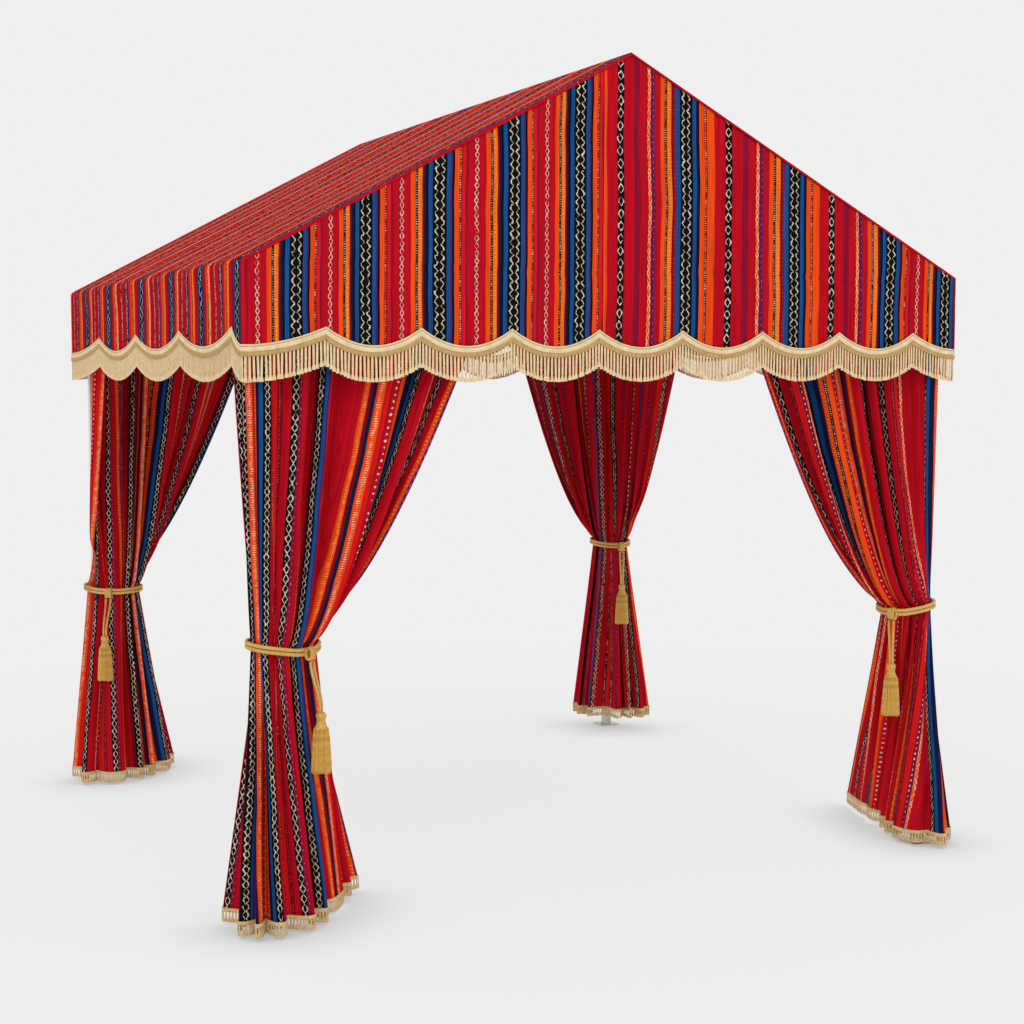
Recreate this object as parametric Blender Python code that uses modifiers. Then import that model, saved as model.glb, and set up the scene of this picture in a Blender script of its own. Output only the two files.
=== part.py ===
# Majlis tent: a steel frame with four legs, a striped gable roof cloth with scalloped and
# fringed valances, and four corner curtains tied back with ropes and tassels.
# Blender 4.5. Metres, +Z up. The tent stands on Z = 0, centred on X = Y = 0, front towards -Y.

import math

import bpy
from mathutils import Matrix, Vector

# Driving dimensions

HALF = 1.5                      # half of the square plan, to the outside of the cloth
EAVE_Z = 2.35                   # fold between roof and valance
PEAK_Z = 3.147                  # top of the ridge
CLOTH = 0.006                   # thickness of roof, gable and valance cloth with its lining
GABLE_INSET = 0.0005            # outer face of a gable, behind the roof's edge
GAP = 0.0003                    # space left between pieces that touch

TUBE = 0.040                    # square frame tube
LEG_INSET = 0.085               # from the outside of the cloth to the axis of a leg
BEAM_Z = 2.30                   # axis of the eave beams
BLOCK = 0.052                   # side of a corner block
PLATE = 0.110                   # side of a foot plate
PLATE_T = 0.006

RAIL_Z = 2.205                  # axis of the curtain rails
RAIL_R = 0.008
FLANGE_R = 0.019
FLANGE_T = 0.004
STRAP = (0.014, 0.004)          # half width along the rail and half thickness of a strap

TRIM_LOW_Z = 2.058              # top of the braid in the middle of a scallop
SCALLOP = 0.064                 # rise from there to a point
TRIM_DROP = 0.131               # braid, gimp and fringe together
TRIM_T = 0.010
TRIM_PROUD = 0.002              # how far it stands out from the cloth
FRONT_FIRST = 0.302             # from a corner to the first point, front and back
FRONT_PITCH = 0.355
FRONT_POINTS = 8
SIDE_FIRST = 0.13               # from a front corner to the first point, left and right
SIDE_PITCH = 0.735
SIDE_POINTS = 4

CURTAIN_TOP = 2.180
HEM_OUT = 0.09                  # how far a hem may stand out beyond the roof's edge
CURTAIN_T = 0.014               # thickness of the gathered layer
WAIST = 0.018                   # half height of the band that the tieback squeezes
UPPER_FLARE = 0.65              # how fast the cloth opens above its tie, and below it
LOWER_FLARE = 1.00
BUNDLE_MAJOR = 0.112            # half sizes of a tied bundle, the longer one towards the leg
BUNDLE_MINOR = 0.092
LEG_COVER = 0.050               # from the axis of the leg to the end of the bundle
ROPE_R = 0.0075                 # one of the two strands of a tieback
CORD_R = 0.0052                 # hanging cord
TASSEL_LENGTH = 0.214
TASSEL_R = 0.0370               # widest radius of its skirt

SLOPE = math.atan2(PEAK_Z - EAVE_Z, HALF)
CLOTH_DROP = CLOTH / math.cos(SLOPE)

# Each corner has its own frame: a runs inwards along X and b inwards along Y, both from the
# outside corner of the cloth. rail lists where the curtain hangs and hem where it ends, both
# from its leading edge, round the leg, to its return edge. gather is the middle of the
# tied bundle, knot the direction, in plan, in which its knot faces, and cord_drop the way from
# the knot down to the tassel.

CORNERS = {
    "front_left": {
        "sign": (-1, -1), "tie_z": 0.985, "hem_z": 0.010, "gather": (0.165, 0.110), "knot": -51,
        "cord_drop": 0.180,
        "rail": [(0.93, 0.085), (0.24, 0.064), (0.12, 0.022), (0.040, 0.018), (0.020, 0.055),
                 (0.030, 0.13), (0.055, 0.25), (0.070, 0.40)],
        "hem": [(0.55, 0.38), (0.42, 0.20), (0.28, -0.01), (0.14, -0.09), (0.00, -0.08),
                (-0.06, 0.04), (-0.05, 0.18)],
        "arc": (50, -230)},
    "front_right": {
        "sign": (1, -1), "tie_z": 0.985, "hem_z": 0.012, "gather": (0.145, 0.100), "knot": -155,
        "cord_drop": 0.180,
        "rail": [(0.95, 0.085), (0.24, 0.064), (0.12, 0.022), (0.040, 0.018), (0.020, 0.055),
                 (0.030, 0.13), (0.065, 0.22)],
        "hem": [(-0.04, 0.78), (0.03, 0.56), (0.09, 0.36), (0.16, 0.17), (0.14, 0.00),
                (0.04, -0.06), (-0.05, 0.03), (-0.045, 0.17)],
        "arc": (50, -230)},
    "back_left": {
        "sign": (-1, 1), "tie_z": 0.905, "hem_z": 0.010, "gather": (0.150, 0.150), "knot": -111,
        "cord_drop": 0.165,
        "rail": [(0.90, 0.085), (0.24, 0.090), (0.150, 0.150), (0.090, 0.24), (0.085, 0.44)],
        "hem": [(0.43, -0.05), (0.46, 0.12), (0.39, 0.29), (0.26, 0.41), (0.10, 0.47),
                (-0.03, 0.45), (-0.08, 0.37), (-0.08, 0.24)],
        "arc": (-60, 195)},
    "back_right": {
        "sign": (1, 1), "tie_z": 1.030, "hem_z": 0.070, "gather": (0.115, 0.180), "knot": -96,
        "cord_drop": 0.180,
        "rail": [(0.65, 0.085), (0.24, 0.090), (0.150, 0.150), (0.090, 0.24), (0.085, 0.92)],
        "hem": [(0.21, -0.08), (0.27, 0.04), (0.25, 0.16), (0.17, 0.27), (0.03, 0.33),
                (-0.08, 0.30), (-0.09, 0.17)],
        "arc": (-60, 190)},
}

# Scene, materials and helpers

for old in list(bpy.data.objects):
    bpy.data.objects.remove(old, do_unlink=True)

PARTS = bpy.data.collections.new("majlis_tent")
bpy.context.scene.collection.children.link(PARTS)


def material(name, colour, roughness, metallic=0.0):
    made = bpy.data.materials.new(name)
    made.use_nodes = True
    shader = made.node_tree.nodes["Principled BSDF"]
    shader.inputs["Base Color"].default_value = (*colour, 1.0)
    shader.inputs["Roughness"].default_value = roughness
    shader.inputs["Metallic"].default_value = metallic
    return made


STEEL = ("steel", (0.78, 0.78, 0.76), 0.40)
CLOTH_LOOK = ("striped_cloth", (0.42, 0.02, 0.02), 0.85)
TRIM_LOOK = ("trim", (0.72, 0.55, 0.34), 0.8)
ROPE_LOOK = ("rope", (0.52, 0.31, 0.09), 0.6)


def finish(obj, name, look):
    """Name a piece, give it a material of its own and put it in the tent's collection."""
    obj.name = name
    obj.data.name = name
    obj.data.materials.clear()
    obj.data.materials.append(material(f"{look[0]}_{name}", *look[1:]))
    for collection in list(obj.users_collection):
        collection.objects.unlink(obj)
    PARTS.objects.link(obj)
    return obj


def as_mesh(obj):
    """Turn a curve, or an object with modifiers, into a plain mesh placed at the origin."""
    depsgraph = bpy.context.evaluated_depsgraph_get()
    mesh = bpy.data.meshes.new_from_object(obj.evaluated_get(depsgraph))
    mesh.transform(obj.matrix_world)
    plain = bpy.data.objects.new(obj.name, mesh)
    bpy.context.scene.collection.objects.link(plain)
    bpy.data.objects.remove(obj, do_unlink=True)
    return plain


def join(base, others):
    """Boolean union of a solid with the solids that are welded or tied to it."""
    for other in others:
        union = base.modifiers.new("union", "BOOLEAN")
        union.operation = "UNION"
        union.solver = "EXACT"
        union.object = other
        base = as_mesh(base)
        bpy.data.objects.remove(other, do_unlink=True)
    return base


def bar(start, end, width, depth, bevel=0.0015):
    """Square bar between two points, its width level and its depth across it."""
    start, end = Vector(start), Vector(end)
    along = (end - start).normalized()
    side = along.cross(Vector((0, 0, 1)))
    side = side.normalized() if side.length > 0.01 else Vector((1, 0, 0))
    bpy.ops.mesh.primitive_cube_add(size=1)
    obj = bpy.context.object
    turn = Matrix((side, along, side.cross(along))).transposed().to_4x4()
    size = Matrix.Diagonal((width, (end - start).length, depth, 1))
    obj.matrix_world = Matrix.Translation((start + end) / 2) @ turn @ size
    obj = as_mesh(obj)
    if bevel:
        edge = obj.modifiers.new("edge", "BEVEL")
        edge.width = bevel
        edge.segments = 1
        obj = as_mesh(obj)
    return obj


def box(low, high, bevel=0.0015):
    low, high = Vector(low), Vector(high)
    middle = (low + high) / 2
    start = Vector((middle.x, low.y, middle.z))
    end = Vector((middle.x, high.y, middle.z))
    return bar(start, end, high.x - low.x, high.z - low.z, bevel)


def rod(start, end, radius, sides=16):
    start, end = Vector(start), Vector(end)
    bpy.ops.mesh.primitive_cylinder_add(vertices=sides, radius=radius, depth=(end - start).length)
    obj = bpy.context.object
    turn = (end - start).to_track_quat("Z", "Y").to_matrix().to_4x4()
    obj.matrix_world = Matrix.Translation((start + end) / 2) @ turn
    return as_mesh(obj)


def slab(outline, thickness, middle, turn):
    """Flat closed outline, extruded both ways, then turned and moved to where it hangs."""
    curve = bpy.data.curves.new("outline", "CURVE")
    curve.dimensions = "2D"
    curve.fill_mode = "BOTH"
    curve.extrude = thickness / 2
    spline = curve.splines.new("POLY")
    spline.points.add(len(outline) - 1)
    for point, (x, y) in zip(spline.points, outline):
        point.co = (x, y, 0, 1)
    spline.use_cyclic_u = True
    obj = bpy.data.objects.new("slab", curve)
    bpy.context.scene.collection.objects.link(obj)
    obj.matrix_world = Matrix.Translation(middle) @ turn
    bpy.context.view_layer.update()
    obj = as_mesh(obj)
    weld = obj.modifiers.new("weld", "WELD")
    weld.merge_threshold = 0.00005
    return as_mesh(obj)


FACING_FRONT = Matrix.Rotation(math.radians(90), 4, "X")
FACING_SIDE = Matrix.Rotation(math.radians(90), 4, "Z") @ FACING_FRONT


def tube(points, radius, cyclic=False, extrude=0.0, resolution=3):
    """Tube along points; a cyclic one with extrude has a tall, round-edged section."""
    curve = bpy.data.curves.new("tube", "CURVE")
    curve.dimensions = "3D"
    curve.twist_mode = "Z_UP" if cyclic else "MINIMUM"
    curve.bevel_depth = radius
    curve.bevel_resolution = resolution
    curve.extrude = extrude
    curve.use_fill_caps = not cyclic
    spline = curve.splines.new("POLY")
    spline.points.add(len(points) - 1)
    for point, place in zip(spline.points, points):
        point.co = (*place, 1)
    spline.use_cyclic_u = cyclic
    obj = bpy.data.objects.new("tube", curve)
    bpy.context.scene.collection.objects.link(obj)
    bpy.context.view_layer.update()
    obj = as_mesh(obj)
    weld = obj.modifiers.new("weld", "WELD")
    weld.merge_threshold = 0.00005
    return as_mesh(obj)


def place(corner, a, b, z):
    """World position of a point in a corner's own frame."""
    sign_x, sign_y = CORNERS[corner]["sign"]
    return Vector((sign_x * (HALF - a), sign_y * (HALF - b), z))


def roof_top(inset):
    """Height of the roof's outer face above a place this far in from the eave."""
    return EAVE_Z + inset * math.tan(SLOPE)


# Steel frame

LEG = HALF - LEG_INSET
BLOCK_LOW = BEAM_Z - BLOCK / 2
SADDLE = (TUBE + 2 * GAP) / math.cos(SLOPE) + CLOTH_DROP    # roof face down to a rafter's seat
RAFTER_DROP = CLOTH_DROP + (TUBE / 2 + GAP) / math.cos(SLOPE)
RAFTER_TAIL = 0.022             # inset at which a rafter ends
APEX_HALF = 0.060               # half width of an apex bracket
APEX_SEAT = 0.030               # how far its middle reaches below the rafters
RIDGE_DROP = 0.012              # from the cloth down to the top of the ridge beam


def leg(corner):
    """Square tube standing on a foot plate that is welded to it."""
    foot = place(corner, LEG_INSET, LEG_INSET, 0)
    post = bar(foot + Vector((0, 0, PLATE_T / 2)), foot + Vector((0, 0, BLOCK_LOW - GAP)), TUBE, TUBE)
    half = Vector((PLATE / 2, PLATE / 2, 0))
    plate = box(foot - half, foot + half + Vector((0, 0, PLATE_T)))
    return finish(join(post, [plate]), f"leg_{corner}", STEEL)


def corner_block(corner):
    """Block on a leg: the eave beams butt against its sides and the rafter lies on its top."""
    sign_x, _ = CORNERS[corner]["sign"]
    inner, outer = LEG_INSET + BLOCK / 2, LEG_INSET - BLOCK / 2
    outline = [(outer, BLOCK_LOW), (inner, BLOCK_LOW),
               (inner, roof_top(inner) - SADDLE), (outer, roof_top(outer) - SADDLE)]
    outline = [(sign_x * (HALF - a), z) for a, z in outline]
    middle = place(corner, LEG_INSET, LEG_INSET, 0)
    block = slab(outline, BLOCK, (0, middle.y, 0), FACING_FRONT)
    return finish(block, f"corner_block_{corner}", STEEL)


def beam(side):
    """Eave beam between two corner blocks."""
    reach = LEG - BLOCK / 2 - GAP
    ends = {"front": ((-reach, -LEG), (reach, -LEG)), "back": ((-reach, LEG), (reach, LEG)),
            "left": ((-LEG, -reach), (-LEG, reach)), "right": ((LEG, -reach), (LEG, reach))}
    start, end = ends[side]
    return finish(bar((*start, BEAM_Z), (*end, BEAM_Z), TUBE, TUBE), f"beam_{side}", STEEL)


def rafter(corner):
    """Sloping tube from the apex bracket down over the corner block to its tail."""
    sign_x, sign_y = CORNERS[corner]["sign"]
    y = sign_y * LEG

    def on_axis(x):
        return Vector((sign_x * x, y, roof_top(HALF - x) - RAFTER_DROP))

    tail = on_axis(HALF - RAFTER_TAIL)
    head = on_axis(APEX_HALF + GAP)
    return finish(bar(tail, head, TUBE, TUBE), f"rafter_{corner}", STEEL)


def apex_bracket(side):
    """Bent bracket that the two rafters of a gable meet at, with a seat for the ridge beam."""
    y = {"front": -LEG, "back": LEG}[side]
    end = Vector((APEX_HALF, roof_top(HALF - APEX_HALF) - RAFTER_DROP))
    half = Vector((math.sin(SLOPE), math.cos(SLOPE))) * TUBE / 2
    upper, lower = end + half, end - half
    top = upper.y + upper.x * math.tan(SLOPE)
    right = [tuple(upper), tuple(lower), (APEX_HALF / 2, lower.y - APEX_SEAT)]
    left = [(-x, z) for x, z in reversed(right)]
    outline = [(0, top)] + right + left
    return finish(slab(outline, TUBE, (0, y, 0), FACING_FRONT), f"apex_bracket_{side}", STEEL)


def ridge_beam():
    """Beam under the ridge, between the two apex brackets."""
    reach = LEG - TUBE / 2 - GAP
    z = PEAK_Z - CLOTH_DROP - RIDGE_DROP - TUBE / 2
    return finish(bar((0, -reach, z), (0, reach, z), TUBE, TUBE), "ridge_beam", STEEL)


def curtain_rail(side):
    """Round rail between two legs with a flange at each end, hung from the beam by straps."""
    reach = LEG - TUBE / 2 - GAP
    along = Vector((1, 0, 0)) if side in ("front", "back") else Vector((0, 1, 0))
    across = {"front": (0, -LEG), "back": (0, LEG), "left": (-LEG, 0), "right": (LEG, 0)}[side]
    middle = Vector((*across, RAIL_Z))
    rail = rod(middle - along * (reach - 0.001), middle + along * (reach - 0.001), RAIL_R)
    extras = []
    for way in (-1, 1):
        end = middle + along * way * reach
        extras.append(rod(end, end - along * way * FLANGE_T, FLANGE_R))
    strap_top = BEAM_Z - TUBE / 2 - GAP
    for share in (-0.5, 0, 0.5):
        low = middle + along * share * reach
        size = along * STRAP[0] + Vector((along.y, along.x, 0)) * STRAP[1]
        extras.append(box(low - size, Vector((*low.xy, strap_top)) + size, 0))
    return finish(join(rail, extras), f"curtain_rail_{side}", STEEL)


# Cloth roof, gables and valances


def scallop_height(distance, first, pitch, count):
    """Top of the braid at a distance from the front or left corner of a side."""
    points = [first + pitch * k for k in range(count)]
    if distance <= points[0]:
        share = distance / points[0]
    elif distance >= points[-1]:
        share = (2 * HALF - distance) / (2 * HALF - points[-1])
    else:
        share = abs(2 * ((distance - first) / pitch % 1) - 1)
    return TRIM_LOW_Z + SCALLOP * share ** 2


def scallop_line(side, reach, drop, step=0.036):
    """Points along a scalloped edge, cut off at -reach and reach and lowered by drop."""
    first, pitch, count = (FRONT_FIRST, FRONT_PITCH, FRONT_POINTS)
    if side in ("left", "right"):
        first, pitch, count = (SIDE_FIRST, SIDE_PITCH, SIDE_POINTS)
    tips = [first + pitch * k - HALF for k in range(count)]
    stops = [-HALF] + tips + [HALF]
    line = []
    for start, end in zip(stops, stops[1:]):
        parts = max(2, round((end - start) / step))
        line += [start + (end - start) * k / parts for k in range(parts)]
    line.append(HALF)
    line = [(u, scallop_height(u + HALF, first, pitch, count) - drop) for u in line]
    inside = [point for point in line if abs(point[0]) < reach - 0.001]
    return [edge_point(line, -reach)] + inside + [edge_point(line, reach)]


def edge_point(line, u):
    """Point of a line at one place along it, carried on straight past its ends."""
    k = 0
    while k < len(line) - 2 and line[k + 1][0] < u:
        k += 1
    (u0, z0), (u1, z1) = line[k], line[k + 1]
    return (u, z0 + (z1 - z0) * (u - u0) / (u1 - u0))


def roof_slope(side):
    """One slope of the roof cloth, from the eave fold to the ridge seam."""
    sign = {"left": -1, "right": 1}[side]
    seam = GAP / 2
    outline = [(sign * HALF, EAVE_Z), (sign * HALF, EAVE_Z - CLOTH_DROP),
               (sign * seam, roof_top(HALF - seam) - CLOTH_DROP), (sign * seam, roof_top(HALF - seam))]
    return finish(slab(outline, 2 * HALF, (0, 0, 0), FACING_FRONT), f"roof_{side}", CLOTH_LOOK)


def gable(side):
    """Triangular end cloth with the valance below it, cut in scallops."""
    y = {"front": -1, "back": 1}[side] * (HALF - GABLE_INSET - CLOTH / 2)
    reach = HALF - CLOTH - GAP
    under = CLOTH_DROP + GAP
    outline = scallop_line(side, reach, -GAP)
    outline += [(reach, roof_top(HALF - reach) - under), (0, PEAK_Z - under),
                (-reach, roof_top(HALF - reach) - under)]
    return finish(slab(outline, CLOTH, (0, y, 0), FACING_FRONT), f"gable_{side}", CLOTH_LOOK)


def valance(side):
    """Side valance, from the eave fold down to its scallops."""
    x = {"left": -1, "right": 1}[side] * (HALF - CLOTH / 2)
    top = EAVE_Z - CLOTH_DROP - GAP
    outline = scallop_line(side, HALF, -GAP) + [(HALF, top), (-HALF, top)]
    return finish(slab(outline, CLOTH, (x, 0, 0), FACING_SIDE), f"valance_{side}", CLOTH_LOOK)


def fringe(side):
    """Braid and fringe below a scalloped edge, as one band."""
    way = {"front": -1, "back": 1, "left": -1, "right": 1}[side]
    offset = way * (HALF + TRIM_PROUD - TRIM_T / 2)
    if side in ("front", "back"):
        reach, middle, turn = HALF + TRIM_PROUD, (0, offset, 0), FACING_FRONT
    else:
        reach, middle, turn = HALF + TRIM_PROUD - TRIM_T - GAP, (offset, 0, 0), FACING_SIDE
    top = scallop_line(side, reach, GAP)
    outline = top + [(u, z - TRIM_DROP) for u, z in reversed(top)]
    return finish(slab(outline, TRIM_T, middle, turn), f"fringe_{side}", TRIM_LOOK)


# Curtains


def smooth_path(points, share):
    """Point at a share of the length of a smooth curve through a few points."""
    lengths = [0.0]
    for p, q in zip(points, points[1:]):
        lengths.append(lengths[-1] + math.dist(p, q))
    target = share * lengths[-1]
    k = 0
    while k < len(points) - 2 and lengths[k + 1] < target:
        k += 1
    local = (target - lengths[k]) / (lengths[k + 1] - lengths[k])
    p1, p2 = points[k], points[k + 1]
    p0 = points[k - 1] if k else (2 * p1[0] - p2[0], 2 * p1[1] - p2[1])
    p3 = points[k + 2] if k + 2 < len(points) else (2 * p2[0] - p1[0], 2 * p2[1] - p1[1])
    place_ab = []
    for c0, c1, c2, c3 in zip(p0, p1, p2, p3):
        m1, m2 = (c2 - c0) * 0.5, (c3 - c1) * 0.5
        h = local
        place_ab.append((2 * h**3 - 3 * h**2 + 1) * c1 + (h**3 - 2 * h**2 + h) * m1
                        + (3 * h**2 - 2 * h**3) * c2 + (h**3 - h**2) * m2)
    return place_ab


def bundle(corner, angle, grow=0.0):
    """Outline of the tied bundle, an oval that has the leg inside it, as (a, b)."""
    centre = Vector(CORNERS[corner]["gather"])
    to_leg = Vector((LEG_INSET, LEG_INSET)) - centre
    major = max(BUNDLE_MAJOR, to_leg.length + LEG_COVER)
    tilt = math.atan2(to_leg.y, to_leg.x)
    turned = math.radians(angle) - tilt
    x, y = (major + grow) * math.cos(turned), (BUNDLE_MINOR + grow) * math.sin(turned)
    return (centre.x + x * math.cos(tilt) - y * math.sin(tilt),
            centre.y + x * math.sin(tilt) + y * math.cos(tilt))


def curtain_place(corner, share, z):
    """Outer face of a curtain as (a, b), at a share of its width and a height."""
    c = CORNERS[corner]
    start, end = c["arc"]
    tied = bundle(corner, start + (end - start) * share)
    if z >= c["tie_z"]:
        spread = max(0, (z - c["tie_z"] - WAIST) / (CURTAIN_TOP - c["tie_z"] - WAIST)) ** UPPER_FLARE
        far = smooth_path(c["rail"], share)
    else:
        spread = max(0, (c["tie_z"] - WAIST - z) / (c["tie_z"] - WAIST - c["hem_z"])) ** LOWER_FLARE
        far = smooth_path(c["hem"], share)
    a, b = (near + (away - near) * spread for near, away in zip(tied, far))
    return max(a, -HEM_OUT), max(b, -HEM_OUT)


def curtain_levels(corner, above=9, below=7):
    """Heights of the rows of a curtain, closer together near its tie."""
    tie_z = CORNERS[corner]["tie_z"]
    upper, lower = tie_z + WAIST, tie_z - WAIST
    up = [upper + (CURTAIN_TOP - upper) * (k / above) ** 1.6 for k in range(above, -1, -1)]
    down = [lower - (lower - CORNERS[corner]["hem_z"]) * (k / below) ** 1.3 for k in range(below + 1)]
    return up + down


def curtain(corner, columns=22):
    """Gathered curtain: a grid bent to its outer face, thickened inwards."""
    levels = curtain_levels(corner)
    bpy.ops.mesh.primitive_grid_add(x_subdivisions=columns, y_subdivisions=len(levels) - 1, size=2)
    obj = bpy.context.object
    for vertex in obj.data.vertices:
        share = (vertex.co.x + 1) / 2
        row = round((1 - vertex.co.y) / 2 * (len(levels) - 1))
        a, b = curtain_place(corner, share, levels[row])
        vertex.co = place(corner, a, b, levels[row])
    sign_x, sign_y = CORNERS[corner]["sign"]
    start, end = CORNERS[corner]["arc"]
    outward = sign_x * sign_y * (end - start) > 0
    layer = obj.modifiers.new("layer", "SOLIDIFY")
    layer.thickness = CURTAIN_T
    layer.offset = -1 if outward else 1
    return finish(as_mesh(obj), f"curtain_{corner}", CLOTH_LOOK)


# Ropes, cords and tassels

RING_CLEAR = 0.003              # from the cloth to the rope of a tieback
KNOT = (0.021, 0.018, 0.026)    # half sizes of a knot: along the rope, outwards and up
CORD_SPREAD = 0.011             # half of the space between the two strands at the knot
CORD_MEET = 0.0056              # the same where they meet the tassel
CORD_CLEAR = 0.004              # from the cloth to a hanging cord


def knot_direction(corner):
    angle = math.radians(CORNERS[corner]["knot"])
    return Vector((math.cos(angle), math.sin(angle), 0))


def reach_towards(corner, z, direction, width=0.05):
    """How far the curtain reaches from the middle of its bundle in one direction."""
    centre = place(corner, *CORNERS[corner]["gather"], z)
    side = Vector((-direction.y, direction.x, 0))
    reach = 0.0
    for k in range(101):
        offset = place(corner, *curtain_place(corner, k / 100, z), z) - centre
        if abs(offset.dot(side)) < width:
            reach = max(reach, offset.dot(direction))
    return reach


def knot_centre(corner):
    """Middle of the knot, on the rope at the side that faces the viewer."""
    tie_z = CORNERS[corner]["tie_z"]
    direction = knot_direction(corner)
    out = reach_towards(corner, tie_z, direction, 0.03) + RING_CLEAR + KNOT[1]
    return place(corner, *CORNERS[corner]["gather"], tie_z - 0.006) + direction * out


def tassel_top(corner):
    """Top of the tassel, out in front of the curtain below the tie."""
    knot = knot_centre(corner)
    z = knot.z - KNOT[2] - CORNERS[corner]["cord_drop"]
    direction = knot_direction(corner)
    centre = place(corner, *CORNERS[corner]["gather"], z)
    low = z - TASSEL_LENGTH
    out = max((knot - centre).dot(direction),
              reach_towards(corner, low, direction) + TASSEL_R + CORD_CLEAR,
              reach_towards(corner, z, direction) + CORD_R + CORD_CLEAR)
    return centre + direction * out


def tieback(corner, steps=32):
    """Rope round the bundle, laid twice, with its knot."""
    tie_z = CORNERS[corner]["tie_z"]
    ring = [place(corner, *bundle(corner, 360 * k / steps, RING_CLEAR + ROPE_R), tie_z)
            for k in range(steps)]
    rope = tube(ring, ROPE_R, cyclic=True, extrude=ROPE_R, resolution=1)
    bpy.ops.mesh.primitive_uv_sphere_add(segments=12, ring_count=8, radius=1)
    knot = bpy.context.object
    angle = math.radians(CORNERS[corner]["knot"] + 90)
    knot.matrix_world = (Matrix.Translation(knot_centre(corner))
                         @ Matrix.Rotation(angle, 4, "Z") @ Matrix.Diagonal((*KNOT, 1)))
    return finish(join(rope, [as_mesh(knot)]), f"tieback_{corner}", ROPE_LOOK)


def hanging_cord(corner, hand):
    """One of the two cords that hang from the knot and carry the tassel."""
    direction = knot_direction(corner)
    side = Vector((-direction.y, direction.x, 0)) * {"left": -1, "right": 1}[hand]
    head = knot_centre(corner) + direction * 0.006 - Vector((0, 0, KNOT[2] + 0.0015))
    foot = tassel_top(corner) + Vector((0, 0, 4 * GAP))
    route = []
    for k in range(13):
        share = k / 12
        near = min(1, k / 11)
        ease = near * near * (3 - 2 * near)
        middle = head.lerp(foot, ease)
        middle.z = head.z + (foot.z - head.z) * share
        centre = place(corner, *CORNERS[corner]["gather"], middle.z)
        out = (middle - centre).dot(direction)
        clear = reach_towards(corner, middle.z, direction, 0.03) + CORD_R + CORD_CLEAR
        half = CORD_SPREAD + (CORD_MEET - CORD_SPREAD) * ease
        route.append(middle + direction * max(0, clear - out) + side * half)
    return finish(tube(route, CORD_R, resolution=2), f"cord_{corner}_{hand}", ROPE_LOOK)


TASSEL_PROFILE = [              # radius and depth below the top
    (0.0125, 0.000), (0.0170, 0.004), (0.0188, 0.012), (0.0170, 0.020), (0.0146, 0.026),
    (0.0165, 0.036), (0.0215, 0.050), (0.0262, 0.056), (0.0290, 0.066), (0.0315, 0.100),
    (0.0340, 0.140), (TASSEL_R, 0.212), (0.0358, TASSEL_LENGTH)]


def tassel(corner):
    """Turned tassel: head, neck, wrapped collar and skirt."""
    top = tassel_top(corner)
    profile = [(0.0, 0.0)] + TASSEL_PROFILE + [(0.0, TASSEL_LENGTH)]
    mesh = bpy.data.meshes.new("tassel")
    mesh.from_pydata([(radius, 0, -depth) for radius, depth in profile],
                     [(k, k + 1) for k in range(len(profile) - 1)], [])
    obj = bpy.data.objects.new("tassel", mesh)
    bpy.context.scene.collection.objects.link(obj)
    obj.location = top
    turn = obj.modifiers.new("turn", "SCREW")
    turn.steps = 16
    turn.render_steps = 16
    turn.use_merge_vertices = True
    turn.merge_threshold = 0.0001
    turn.use_normal_calculate = True
    bpy.context.view_layer.update()
    return finish(as_mesh(obj), f"tassel_{corner}", ROPE_LOOK)


# Assembly

for name in CORNERS:
    leg(name)
    corner_block(name)
    rafter(name)
for name in ("front", "back", "left", "right"):
    beam(name)
    curtain_rail(name)
for name in ("front", "back"):
    apex_bracket(name)
    gable(name)
for name in ("left", "right"):
    roof_slope(name)
    valance(name)
ridge_beam()
for name in ("front", "back", "left", "right"):
    fringe(name)
for name in CORNERS:
    curtain(name)
    tieback(name)
    hanging_cord(name, "left")
    hanging_cord(name, "right")
    tassel(name)
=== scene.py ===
# %% [markdown]
# # A majlis tent in striped cloth
#
# This lesson dresses a plain model of a majlis tent: a square, open tent with a gable roof of
# warp-striped cloth, a scalloped valance with a cream fringe, and a curtain at each corner that
# a gold rope with a tassel holds in. The plain model, called the frame here, has every size
# already. It is loaded first, and each finished piece then takes the place of its plain solid.
# All places are in metres, +Z is up and the front gable faces -Y.

# %% Load the frame
import math
import random

import bpy
import numpy as np
from mathutils import Matrix, Vector


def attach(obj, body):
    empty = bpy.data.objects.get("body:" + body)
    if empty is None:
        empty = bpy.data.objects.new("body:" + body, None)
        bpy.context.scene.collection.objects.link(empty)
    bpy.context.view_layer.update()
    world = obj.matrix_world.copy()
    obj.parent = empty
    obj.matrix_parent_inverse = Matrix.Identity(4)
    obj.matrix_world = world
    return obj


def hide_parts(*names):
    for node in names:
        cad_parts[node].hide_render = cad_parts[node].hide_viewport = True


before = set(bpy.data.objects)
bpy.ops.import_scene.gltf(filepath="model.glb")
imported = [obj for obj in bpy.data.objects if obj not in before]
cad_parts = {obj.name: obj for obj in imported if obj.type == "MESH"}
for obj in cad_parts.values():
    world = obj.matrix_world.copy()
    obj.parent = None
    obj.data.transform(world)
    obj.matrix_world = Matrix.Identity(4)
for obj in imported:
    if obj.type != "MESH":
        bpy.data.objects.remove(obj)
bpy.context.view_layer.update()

# %% [markdown]
# ## The camera
#
# The picture was taken from a standing person's height, with a long lens, from the left of the
# front gable. A long lens keeps the tent's upright lines nearly parallel. The camera is turned
# by two angles only, so the uprights stay upright.

# %% Camera
CAMERA_PLACE = (-3.239, -7.546, 1.961)
CAMERA_YAW = 24.45              # degrees to the right of +Y
CAMERA_PITCH = -4.36
CAMERA_LENS = 63.98             # millimetres, on a sensor 36 mm wide

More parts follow.
